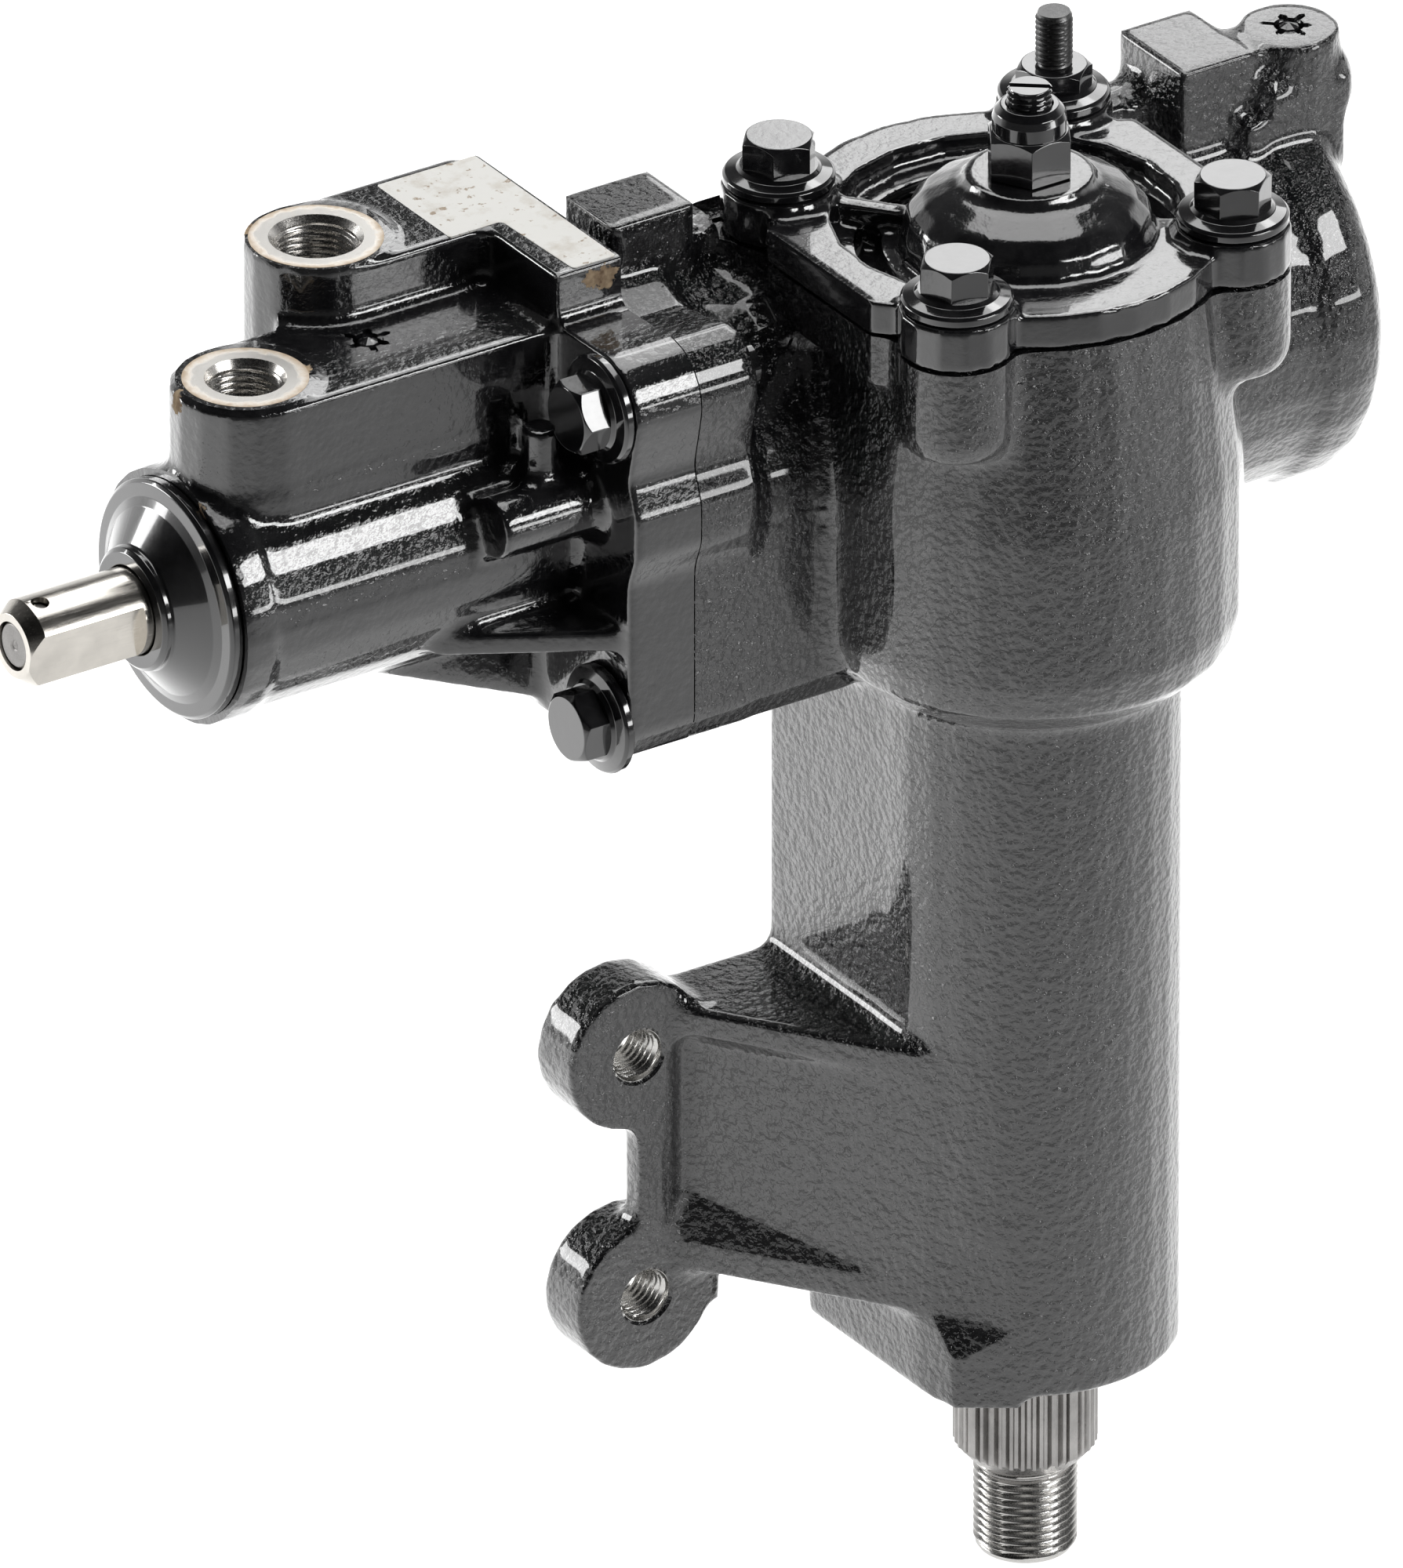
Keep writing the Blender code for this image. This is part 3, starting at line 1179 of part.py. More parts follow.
def pin_turn():
    """Turns a shape's own Z across the shaft, along the pin."""
    return Matrix.Rotation(PIN_ANGLE, 4, "X") @ ALONG_Y


def torsion_bar():
    body = [
        (0.0, -84.0),
        (TORSION_HEAD_RADIUS, -84.0),
        (TORSION_HEAD_RADIUS, -93.0),
        (TORSION_BAR_RADIUS, -95.0),
        (TORSION_BAR_RADIUS, -207.0),
        (TORSION_HEAD_RADIUS, -209.0),
        (TORSION_HEAD_RADIUS, INPUT_TIP_X + 0.4),
        (0.0, INPUT_TIP_X + 0.4),
    ]
    bar = turned("torsion_bar", body, WORM_AXIS, MIN_SIDES)
    cut(bar, rod("bar_pin_hole", PIN_RADIUS + CLEAR, -12.0, 12.0, on_worm(PIN_X, pin_turn()), MIN_SIDES))
    return paint(bar, GROUND_STEEL)


def torsion_bar_pin():
    pin = rod("torsion_bar_pin", PIN_RADIUS, -7.8, 7.8, on_worm(PIN_X, pin_turn()), MIN_SIDES)
    return paint(pin, CAST_STEEL)


def valve_sleeve():
    inner = SPOOL_RADIUS + 0.4
    profile = [(VALVE_BORE - CLEAR, SLEEVE_X[1])]
    for x in reversed(SLEEVE_RING_X):
        profile += [(VALVE_BORE - CLEAR, x + 1.6), (SLEEVE_GROOVE, x + 1.6), (SLEEVE_GROOVE, x - 1.6)]
        profile.append((VALVE_BORE - CLEAR, x - 1.6))
    profile += [(VALVE_BORE - CLEAR, SLEEVE_X[0]), (inner, SLEEVE_X[0]), (inner, SLEEVE_X[1])]
    sleeve = turned("valve_sleeve", profile, WORM_AXIS, MEDIUM)
    for side in range(2):
        turn = Matrix.Rotation(math.pi / 2.0 * side, 4, "X") @ ALONG_Y
        cut(sleeve, rod("sleeve_hole", 2.2, -24.0, 24.0, on_worm(SLEEVE_HOLE_X, turn), MIN_SIDES))
    return paint(sleeve, GROUND_STEEL)


def sleeve_rings():
    made = []
    for number, x in enumerate(SLEEVE_RING_X, 1):
        name = f"valve_sleeve_ring_{number}"
        outer = VALVE_BORE - 0.15
        made.append(ring(name, SLEEVE_GROOVE + CLEAR, outer, x - 1.3, x + 1.3, WORM_AXIS, RING_POLYMER))
    return made


def valve_bearings():
    shaft = INPUT_RADIUS + CLEAR
    front_low, front_high = THRUST_FLANGE_X
    housing = THRUST_BORE - CLEAR
    seal = INPUT_SEAL_BORE - CLEAR
    seal_back = SEAL_RECESS_BACK_X - CLEAR - 0.1
    return [
        ring("input_shaft_seal", shaft, seal, VALVE_FRONT_X + CLEAR, seal_back, WORM_AXIS, RUBBER),
        ring("input_shaft_bearing", shaft, NEEDLE_BORE - CLEAR, -173.6, -160.0, WORM_AXIS, CAST_STEEL),
        ring("thrust_bearing_front", 12.6, 21.0, -99.7, front_low - CLEAR, WORM_AXIS, CAST_STEEL),
        ring("thrust_bearing_rear", 12.6, 21.0, front_high + CLEAR, -86.9, WORM_AXIS, CAST_STEEL),
        ring("bearing_adjuster", 12.6, housing, -86.6, -81.0, WORM_AXIS, GROUND_STEEL),
    ]


def ball_plugs():
    low = ball("valve_passage_plug", PLUG_BALL, at(*BALL_PLUG, LOWER_DECK_Z - 2.4))
    rear = ball("rear_passage_plug", PLUG_BALL, at(*REAR_BOSS, 318.0 - 2.4))
    return [paint(low, BALL_STEEL), paint(rear, BALL_STEEL)]


gear_housing()
valve_housing()
valve_housing_seal()
seal_cover()
sector_cover()
cover_seal()
cover_bushing()
cover_bolts()
valve_bolts()
lash_adjuster_screw()
adjuster_lock_nut()
adjuster_retainer()
sector_shaft()
sector_bearings()
worm_shaft()
rack_piston()
piston_seal_ring()
ball_return_guide()
guide_clamp()
balls()
input_shaft()
torsion_bar()
torsion_bar_pin()
valve_sleeve()
sleeve_rings()
valve_bearings()
ball_plugs()
bpy.context.view_layer.update()
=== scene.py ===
import json
import math

import bmesh
import bpy
from mathutils import Matrix, Vector


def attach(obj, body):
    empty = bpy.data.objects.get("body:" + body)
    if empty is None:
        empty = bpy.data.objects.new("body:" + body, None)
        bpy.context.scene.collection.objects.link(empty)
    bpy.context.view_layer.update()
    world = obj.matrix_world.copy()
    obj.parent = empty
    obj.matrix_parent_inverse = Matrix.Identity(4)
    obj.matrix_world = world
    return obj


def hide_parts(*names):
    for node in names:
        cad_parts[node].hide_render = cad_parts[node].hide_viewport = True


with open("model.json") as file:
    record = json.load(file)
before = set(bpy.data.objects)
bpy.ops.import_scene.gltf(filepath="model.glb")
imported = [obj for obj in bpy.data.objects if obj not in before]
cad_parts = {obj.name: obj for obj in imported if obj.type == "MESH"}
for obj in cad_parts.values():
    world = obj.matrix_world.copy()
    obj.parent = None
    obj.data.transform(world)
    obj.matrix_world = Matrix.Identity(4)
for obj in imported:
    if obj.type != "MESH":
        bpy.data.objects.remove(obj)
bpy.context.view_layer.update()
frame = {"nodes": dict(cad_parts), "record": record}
NODES = frame["nodes"]

MM = 0.001
COARSER = 1.0
WELD = 0.000001  # metres within which vertices become one
TAP_SIDES = 24
HOLE_SIDES = 32
BORE_SIDES = 96

# The frame's main places, in millimetres
WORM_Y = 52.0
WORM_Z = 256.3
PARTING_X = -80.0
PARTING_HALF_GAP = 0.15
FLANGE_FRONT_X = -96.3
VALVE_FRONT_X = -180.0
COVER_SEAT_Z = 306.35
COVER_BOTTOM_Z = 306.65
COVER_BOSS_Z = 317.0
COLLAR_TOP_Z = 328.0
LOCK_NUT_TOP_Z = 338.0
ADJUSTER_TOP_Z = 348.0
COVER_BOLTS = ((-34.75, -24.9), (34.75, -24.9), (-34.75, 42.7), (34.75, 42.7))
FLANGE_BOLTS = ((-36.7, 36.7), (44.0, 25.0), (-36.7, -36.7), (36.7, -36.7))
SMALL_PORT = (-163.2, 50.8, 303.3)
LARGE_PORT = (-129.1, 76.0, 315.9)
UPPER_EAR = (-74.3, 122.5)
LOWER_EAR = (-72.4, 64.3)
FRAME_BOLT = (-12.0, 190.0)
REAR_BOSS = (93.7, 41.6, 318.0)
BALL_PLUG = (-132.0, 51.6, 303.3)
PORT_FACE_RISE = 0.4
VALVE_CHIPS = (
    (-84.0, 34.6, 312.2, 2.6), (-87.5, 34.6, 312.6, 2.0), (-179.3, 53.0, 301.5, 2.2),
    (-151.2, 47.4, 303.6, 1.6), (-139.0, 86.8, 315.8, 2.4), (-140.8, 71.3, 315.0, 1.6),
    (-180.2, 42.0, 280.5, 1.3),
)
INPUT_TIP_X = -220.8
INPUT_RADIUS = 9.525
FLAT_REACH = 6.985
FLAT_LENGTH = 27.5
FLAT_ANGLE = math.radians(12.0)
PIN_ANGLE = math.radians(99.5)

# Threads: crest radius, root radius and pitch, in millimetres
M8 = (4.0, 3.45, 1.25)
M10_FINE = (4.9, 4.3, 1.25)
M12 = (6.0, 5.15, 1.75)
UNF_7_8 = (11.1, 10.05, 1.81)

ALONG_Z = Matrix.Identity(4)
ALONG_X = Matrix(((0, 0, 1, 0), (1, 0, 0, 0), (0, 1, 0, 0), (0, 0, 0, 1)))
ALONG_Y = Matrix(((0, 1, 0, 0), (0, 0, 1, 0), (1, 0, 0, 0), (0, 0, 0, 1)))
TOWARDS_DRIVER = Matrix(((0, 0, -1, 0), (-1, 0, 0, 0), (0, 1, 0, 0), (0, 0, 0, 1)))

# The studio: directions over the floor, levels, and soft boxes as name, place, target, width, height
# and watts, in metres
BEHIND = (0.55, 0.835, 0.0)
BRIGHTER_SIDE = (-0.35, 0.94, 0.0)
PAPER_LEVEL = 0.84
PAPER_Z = -0.6
PAPER_SIZE = 6000.0
WHITE = (1.0, 1.0, 1.0, 1.0)
SOFT_BOXES = (
    ("back_panel", (0.774, 0.82, 1.111), (0.0, 0.0, 0.31), 0.56, 0.62, 3.4),
    ("strip_panel", (0.59, -1.08, 0.97), (-0.14, 0.03, 0.26), 0.90, 0.30, 9.0),
    ("left_panel", (-0.90, 1.08, 0.50), (-0.10, 0.0, 0.25), 0.50, 0.40, 5.5),
    ("low_panel", (0.62, -0.95, 0.30), (0.0, 0.0, 0.20), 0.70, 0.16, 2.6),
    ("top_panel", (0.32, 0.48, 1.65), (0.0, 0.0, 0.3), 1.20, 1.30, 13.5),
)


# Places and meshes


def at(x, y, z, turn=ALONG_Z):
    return Matrix.Translation(Vector((x, y, z)) * MM) @ turn


def on_worm(x=0.0, turn=ALONG_X):
    return at(x, WORM_Y, WORM_Z, turn)


def beside_worm(across, up):
    return at(0.0, WORM_Y + across, WORM_Z + up, ALONG_X)


def placed(name, data):
    item = bpy.data.objects.new(name, data)
    bpy.context.scene.collection.objects.link(item)
    return item


def from_metres(name, bm):
    """A new object from a bmesh drawn in metres."""
    mesh = bpy.data.meshes.new(name)
    bm.to_mesh(mesh)
    bm.free()
    return placed(name, mesh)


def from_bmesh(name, bm, place=ALONG_Z):
    """A new object from a bmesh drawn in millimetres, with its place written into its mesh."""
    bmesh.ops.transform(bm, matrix=place @ Matrix.Scale(MM, 4), verts=bm.verts)
    if place.to_3x3().determinant() < 0.0:
        bmesh.ops.reverse_faces(bm, faces=bm.faces)
    return from_metres(name, bm)


def add_rod(bm, radius, low, high, place, sides=48, top_radius=None):
    """A cylinder or cone added to a bmesh that is drawn in metres."""
    end = radius if top_radius is None else top_radius
    middle = Matrix.Translation((0.0, 0.0, (low + high) / 2.0))
    bmesh.ops.create_cone(
        bm, cap_ends=True, segments=sides, radius1=radius, radius2=end, depth=high - low,
        matrix=place @ Matrix.Scale(MM, 4) @ middle,
    )


def rod(name, radius, low, high, place, sides=64, top_radius=None):
    bm = bmesh.new()
    add_rod(bm, radius, low, high, Matrix.Scale(1.0 / MM, 4), sides, top_radius)
    return from_bmesh(name, bm, place)


def box(name, low, high, place=ALONG_Z):
    bm = bmesh.new()
    bmesh.ops.create_cube(bm, size=1.0)
    size = [b - a for a, b in zip(low, high)]
    middle = [(a + b) / 2.0 for a, b in zip(low, high)]
    bmesh.ops.scale(bm, vec=size, verts=bm.verts)
    bmesh.ops.translate(bm, vec=middle, verts=bm.verts)
    return from_bmesh(name, bm, place)


def prism(name, outline, low, high, place=ALONG_Z):
    """A flat outline given thickness along the shape's own Z."""
    bm = bmesh.new()
    base = bm.faces.new([bm.verts.new((x, y, low)) for x, y in outline])
    base.normal_update()
    if base.normal.z > 0.0:
        base.normal_flip()
    grown = bmesh.ops.extrude_face_region(bm, geom=[base])
    raised = [v for v in grown["geom"] if isinstance(v, bmesh.types.BMVert)]
    bmesh.ops.translate(bm, vec=(0.0, 0.0, high - low), verts=raised)
    bmesh.ops.recalc_face_normals(bm, faces=bm.faces)
    return from_bmesh(name, bm, place)


def hull(name, corners):
    bm = bmesh.new()
    bmesh.ops.convex_hull(bm, input=[bm.verts.new(corner) for corner in corners])
    bmesh.ops.recalc_face_normals(bm, faces=bm.faces)
    return from_bmesh(name, bm)


def ring(bm, radii, height):
    """Vertices round the axis, evenly spaced, each at its own radius."""
    points = []
    for step, radius in enumerate(radii):
        angle = 2.0 * math.pi * step / len(radii)
        points.append(bm.verts.new((radius * math.cos(angle), radius * math.sin(angle), height)))
    return points


def turned(name, profile, place=ALONG_Z, steps=BORE_SIDES):
    """A turned solid from (radius, height) pairs; a profile that stays off the axis closes on itself."""
    bm = bmesh.new()
    rings = [ring(bm, [radius] * steps if radius > 0.0 else [0.0], height) for radius, height in profile]
    closed = profile[0][0] > 0.0 and profile[-1][0] > 0.0
    pairs = list(zip(rings, rings[1:])) + ([(rings[-1], rings[0])] if closed else [])
    for first, second in pairs:
        for step in range(steps):
            following = (step + 1) % steps
            corners = [first[step % len(first)], first[following % len(first)]]
            corners += [second[following % len(second)], second[step % len(second)]]
            unique = list(dict.fromkeys(corners))
            if len(unique) > 2:
                bm.faces.new(unique)
    bmesh.ops.recalc_face_normals(bm, faces=bm.faces)
    return from_bmesh(name, bm, place)


def eased(corners, steps=4):
    """A profile or outline whose corners are (x, y, radius), each rounded by its radius."""
    outline = []
    count = len(corners)
    for index, (x, y, radius) in enumerate(corners):
        if radius <= 0.0:
            outline.append((x, y))
            continue
        here = Vector((x, y))
        before = (Vector(corners[index - 1][:2]) - here).normalized()
        after = (Vector(corners[(index + 1) % count][:2]) - here).normalized()
        half = math.acos(max(-1.0, min(1.0, before.dot(after)))) / 2.0
        reach = radius / math.tan(half)
        middle = here + (before + after).normalized() * radius / math.sin(half)
        first = here + before * reach - middle
        last = here + after * reach - middle
        turn = first.angle_signed(last)
        start = math.atan2(first.y, first.x)
        for step in range(steps + 1):
            angle = start - turn * step / steps
            outline.append((middle.x + radius * math.cos(angle), middle.y + radius * math.sin(angle)))
    return outline


def arc(centre, radius, start, stop, steps):
    points = []
    for step in range(steps + 1):
        angle = math.radians(start + (stop - start) * step / steps)
        points.append((centre[0] + radius * math.cos(angle), centre[1] + radius * math.sin(angle)))
    return points


def settle(item):
    """Writes an object's modifiers into its mesh."""
    bpy.context.view_layer.update()
    depsgraph = bpy.context.evaluated_depsgraph_get()
    mesh = bpy.data.meshes.new_from_object(item.evaluated_get(depsgraph))
    item.modifiers.clear()
    item.data = mesh
    return item


def modify(item, kind, **values):
    """Gives an object one modifier and writes it into its mesh."""
    step = item.modifiers.new(kind, kind)
    for key, value in values.items():
        setattr(step, key, value)
    return settle(item)


def combine(item, tools, operation, solver="MANIFOLD"):
    for tool in tools:
        step = item.modifiers.new("combine", "BOOLEAN")
        step.operation = operation
        step.solver = solver
        step.object = tool
    settle(item)
    for tool in tools:
        bpy.data.objects.remove(tool, do_unlink=True)


def cut(item, *tools, solver="MANIFOLD"):
    combine(item, tools, "DIFFERENCE", solver)


def join(item, *tools, solver="MANIFOLD"):
    combine(item, tools, "UNION", solver)


def remesh(item, voxel):
    modify(item, "REMESH", mode="VOXEL", voxel_size=voxel * COARSER * MM)


def inflate(item, distance):
    modify(item, "DISPLACE", strength=distance * MM, mid_level=0.0)


def relax(item, rounds):
    modify(item, "SMOOTH", factor=0.5, iterations=rounds)


def soften(item, width, segments=2, angle=30.0):
    limit = math.radians(angle)
    return modify(item, "BEVEL", width=width * MM, segments=segments, limit_method="ANGLE", angle_limit=limit)


def dress(item, look, body, slot, *nodes, crease=32.0, even=True):
    """Gives a piece its material and body, and hides the CAD nodes that it stands for."""
    item.data.materials.clear()
    item.data.materials.append(look)
    item.data.shade_smooth()
    item.data.set_sharp_from_angle(angle=math.radians(crease))
    if even:
        modify(item, "WEIGHTED_NORMAL", keep_sharp=True)
    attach(item, body)
    if nodes:
        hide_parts(*nodes)


# Materials


def socket(look, name):
    return look.node_tree.nodes["Principled BSDF"].inputs[name]


def new_look(name, colour, roughness, metallic=0.0, coat=0.0):
    look = bpy.data.materials.new(name)
    look.use_nodes = True
    socket(look, "Base Color").default_value = (*colour, 1.0)
    socket(look, "Roughness").default_value = roughness
    socket(look, "Metallic").default_value = metallic
    socket(look, "Coat Weight").default_value = coat
    socket(look, "Coat Roughness").default_value = 0.06
    socket(look, "Coat IOR").default_value = 1.6
    look.diffuse_color = (*colour, 1.0)
    return look


def add_node(look, kind, **values):
    node = look.node_tree.nodes.new(kind)
    for key, value in values.items():
        setattr(node, key, value)
    return node


def wire(look, output, target):
    look.node_tree.links.new(output, target)


def noise(look, scale, detail=2.0, stretch=(1.0, 1.0, 1.0), rough=0.5, turn=(0.0, 0.0, 0.0)):
    """A noise value fixed to the object, its scale in waves per metre."""
    place = add_node(look, "ShaderNodeTexCoord")
    mapping = add_node(look, "ShaderNodeMapping")
    mapping.inputs["Scale"].default_value = stretch
    mapping.inputs["Rotation"].default_value = turn
    wire(look, place.outputs["Object"], mapping.inputs["Vector"])
    texture = add_node(look, "ShaderNodeTexNoise")
    texture.inputs["Scale"].default_value = scale
    texture.inputs["Detail"].default_value = detail
    texture.inputs["Roughness"].default_value = rough
    wire(look, mapping.outputs["Vector"], texture.inputs["Vector"])
    return texture.outputs["Fac"]


def spread(look, value, low, high, new_low=0.0, new_high=1.0):
    """Stretches a value from one range to another and holds it there."""
    node = add_node(look, "ShaderNodeMapRange")
    node.inputs["From Min"].default_value = low
    node.inputs["From Max"].default_value = high
    node.inputs["To Min"].default_value = new_low
    node.inputs["To Max"].default_value = new_high
    wire(look, value, node.inputs["Value"])
    return node.outputs["Result"]


def calculate(look, operation, first, second, clamp=False):
    node = add_node(look, "ShaderNodeMath", operation=operation, use_clamp=clamp)
    wire(look, first, node.inputs[0])
    wire(look, second, node.inputs[1])
    return node.outputs[0]


def add_up(look, first, second):
    return calculate(look, "ADD", first, second, True)


def measure(look, operation, point, space="Object"):
    """The distance from a point, or the dot product with a direction, in metres."""
    place = add_node(look, "ShaderNodeTexCoord")
    node = add_node(look, "ShaderNodeVectorMath", operation=operation)
    node.inputs[1].default_value = point
    wire(look, place.outputs[space], node.inputs[0])
    return node.outputs["Value"]


def blend_colours(look, factor, first, second):
    node = add_node(look, "ShaderNodeMix", data_type="RGBA")
    for target, colour in ((node.inputs[6], first), (node.inputs[7], second)):
        if isinstance(colour, bpy.types.NodeSocket):
            wire(look, colour, target)
        else:
            target.default_value = (*colour, 1.0)
    wire(look, factor, node.inputs[0])
    return node.outputs[2]


def bump(look, value, height, strength=1.0, under=None):
    node = add_node(look, "ShaderNodeBump")
    node.inputs["Distance"].default_value = height * MM
    node.inputs["Strength"].default_value = strength
    wire(look, value, node.inputs["Height"])
    if under is not None:
        wire(look, under, node.inputs["Normal"])
    return node.outputs["Normal"]


def pebbles(look, scale):
    """Rounded grains side by side, their scale in grains per metre."""
    place = add_node(look, "ShaderNodeTexCoord")
    cells = add_node(look, "ShaderNodeTexVoronoi", feature="SMOOTH_F1")
    cells.inputs["Scale"].default_value = scale
    cells.inputs["Smoothness"].default_value = 0.5
    wire(look, place.outputs["Object"], cells.inputs["Vector"])
    return spread(look, cells.outputs["Distance"], 0.0, 0.8, 1.0, 0.0)


def bare_spots(look, spots):
    """1 inside ragged spots given as (x, y, z, radius), 0 elsewhere."""
    wobble = spread(look, noise(look, 380.0, 4.0, rough=0.7), 0.0, 1.0, -3.2 * MM, 3.2 * MM)
    total = None
    for x, y, z, radius in spots:
        distance = measure(look, "DISTANCE", Vector((x, y, z)) * MM)
        ragged = calculate(look, "ADD", distance, wobble)
        spot = spread(look, ragged, radius * MM, (radius + 0.25) * MM, 1.0, 0.0)
        total = spot if total is None else add_up(look, total, spot)
    return total


def enamel(name, grain, waves, roughness, peel=0.02, pit=0.0, chips=()):
    """Black gloss enamel: cast grain and pits below, orange peel on top, clouds of dust.

    Chips are (x, y, z, radius) in millimetres: there the paint is off and tan primer or rust shows.
    """
    look = new_look(name, (0.010, 0.010, 0.011), roughness, coat=1.0)
    fine = noise(look, 1500.0, 1.0)
    coarse = noise(look, 380.0, 3.0, rough=0.6)
    slow = noise(look, 60.0, 2.0)
    pits = spread(look, noise(look, 430.0, 2.0, rough=0.6), 0.30, 0.40)
    normal = bump(look, slow, waves)
    normal = bump(look, coarse, grain, under=normal)
    normal = bump(look, pebbles(look, 620.0), grain * 0.36, under=normal)
    normal = bump(look, pits, pit, under=normal)
    normal = bump(look, fine, peel, under=normal)
    wire(look, normal, socket(look, "Normal"))
    dust = spread(look, noise(look, 160.0, 5.0, rough=0.65), 0.45, 0.80)
    colour = blend_colours(look, dust, (0.008, 0.008, 0.009), (0.024, 0.024, 0.025))
    rough = spread(look, coarse, 0.3, 0.7, roughness * 0.8, roughness * 1.3)
    if chips:
        bare = bare_spots(look, chips)
        rust = spread(look, coarse, 0.35, 0.65)
        tan = blend_colours(look, rust, (0.50, 0.38, 0.25), (0.20, 0.13, 0.08))
        colour = blend_colours(look, bare, colour, tan)
        rough = add_up(look, rough, bare)
        wire(look, spread(look, bare, 0.0, 1.0, 1.0, 0.0), socket(look, "Coat Weight"))
    wire(look, colour, socket(look, "Base Color"))
    wire(look, rough, socket(look, "Roughness"))
    return look


def steel(name, colour, roughness, lines, grime, stretch=(1.0, 1.0, 1.0)):
    """Worked steel: fine tool lines, cloudy colour and a little grime."""
    look = new_look(name, colour, roughness, 1.0)
    marks = noise(look, 2600.0, 3.0, stretch, 0.7)
    cloud = noise(look, 90.0, 4.0, rough=0.6)
    wire(look, bump(look, marks, lines), socket(look, "Normal"))
    darker = tuple(channel * (1.0 - grime) for channel in colour)
    tinted = blend_colours(look, spread(look, cloud, 0.35, 0.7), colour, darker)
    wire(look, tinted, socket(look, "Base Color"))
    wire(look, spread(look, marks, 0.3, 0.7, roughness * 0.7, roughness * 1.4), socket(look, "Roughness"))
    return look


def soft_matter(name, colour, roughness):
    look = new_look(name, colour, roughness)
    grain = noise(look, 1500.0, 3.0)
    wire(look, bump(look, grain, 0.02), socket(look, "Normal"))
    lighter = tuple(min(1.0, channel * 1.6 + 0.004) for channel in colour)
    wire(look, blend_colours(look, grain, colour, lighter), socket(look, "Base Color"))
    return look


def bare_face(name, inner, outer, centre):
    """A machined sealing face whose rim shows chipped primer and bare iron."""
    iron = (0.82, 0.80, 0.76)
    primer = (0.60, 0.47, 0.33)
    look = new_look(name, iron, 0.32, 1.0)
    wobble = noise(look, 420.0, 4.0, rough=0.7)
    edge = add_node(look, "ShaderNodeMath", operation="MULTIPLY_ADD")
    edge.inputs[1].default_value = 4.0 * MM
    wire(look, wobble, edge.inputs[0])
    wire(look, measure(look, "DISTANCE", Vector(centre) * MM), edge.inputs[2])
    rim = spread(look, edge.outputs[0], (inner + 2.0) * MM, (outer + 2.3) * MM)
    rings = noise(look, 3000.0, 2.0)
    wire(look, blend_colours(look, rim, iron, primer), socket(look, "Base Color"))
    wire(look, spread(look, rim, 0.0, 1.0, 1.0, 0.1), socket(look, "Metallic"))
    wire(look, spread(look, rim, 0.0, 1.0, 0.30, 0.75), socket(look, "Roughness"))
    wire(look, bump(look, rings, 0.02), socket(look, "Normal"))
    return look


CAST_ENAMEL = enamel("cast_enamel", 1.15, 0.9, 0.12, 0.12, 0.22)
SMOOTH_ENAMEL = enamel("smooth_enamel", 0.26, 0.30, 0.14, 0.05, 0.03)
VALVE_ENAMEL = enamel("valve_enamel", 0.26, 0.30, 0.14, 0.05, 0.03, VALVE_CHIPS)
COVER_ENAMEL = enamel("cover_enamel", 0.10, 0.22, 0.14, 0.04, 0.02)
STUD_STEEL = steel("stud_steel", (0.13, 0.13, 0.13), 0.34, 0.01, 0.4)
BOLT_ENAMEL = enamel("bolt_enamel", 0.02, 0.12, 0.13, 0.008)
CAP_ENAMEL = enamel("cap_enamel", 0.012, 0.05, 0.17, 0.006)
PLATED = steel("plated_steel", (0.66, 0.63, 0.58), 0.20, 0.006, 0.18, (0.05, 1.0, 1.0))
TURNED = steel("turned_steel", (0.42, 0.41, 0.40), 0.30, 0.012, 0.35, (1.0, 1.0, 0.1))
THREADED = steel("threaded_steel", (0.66, 0.65, 0.63), 0.22, 0.003, 0.2)
PORT_THREAD = steel("port_thread_steel", (0.74, 0.72, 0.69), 0.24, 0.008, 0.2)
PLAIN = steel("plain_steel", (0.34, 0.33, 0.32), 0.42, 0.02, 0.3)
BALL_LOOK = steel("ball_steel", (0.75, 0.75, 0.76), 0.10, 0.002, 0.1)
BRONZE = steel("bushing_bronze", (0.55, 0.36, 0.18), 0.35, 0.01, 0.2, (1.0, 1.0, 0.1))
RUBBER = soft_matter("seal_rubber", (0.015, 0.015, 0.015), 0.7)
POLYMER = soft_matter("ring_polymer", (0.10, 0.07, 0.05), 0.45)


def finish_inner_nodes():
    """Every CAD node that stays in view of a cut or a pose gets a worked finish."""
    by_slot = {
        "cast_housing": CAST_ENAMEL,
        "valve_casting": SMOOTH_ENAMEL,
        "black_fastener": BOLT_ENAMEL,
        "bright_shaft": PLATED,
        "machined_steel": TURNED,
        "plain_steel": PLAIN,
        "ball_steel": BALL_LOOK,
        "bushing_bronze": BRONZE,
        "seal_rubber": RUBBER,
        "ring_polymer": POLYMER,
    }
    slots = {entry["node"]: entry["material_slot"] for entry in frame["record"]["subparts"]}
    for name, item in NODES.items():
        look = SMOOTH_ENAMEL if name.endswith("passage_plug") else by_slot[slots[name]]
        for place in item.material_slots:
            place.material = look


# Castings


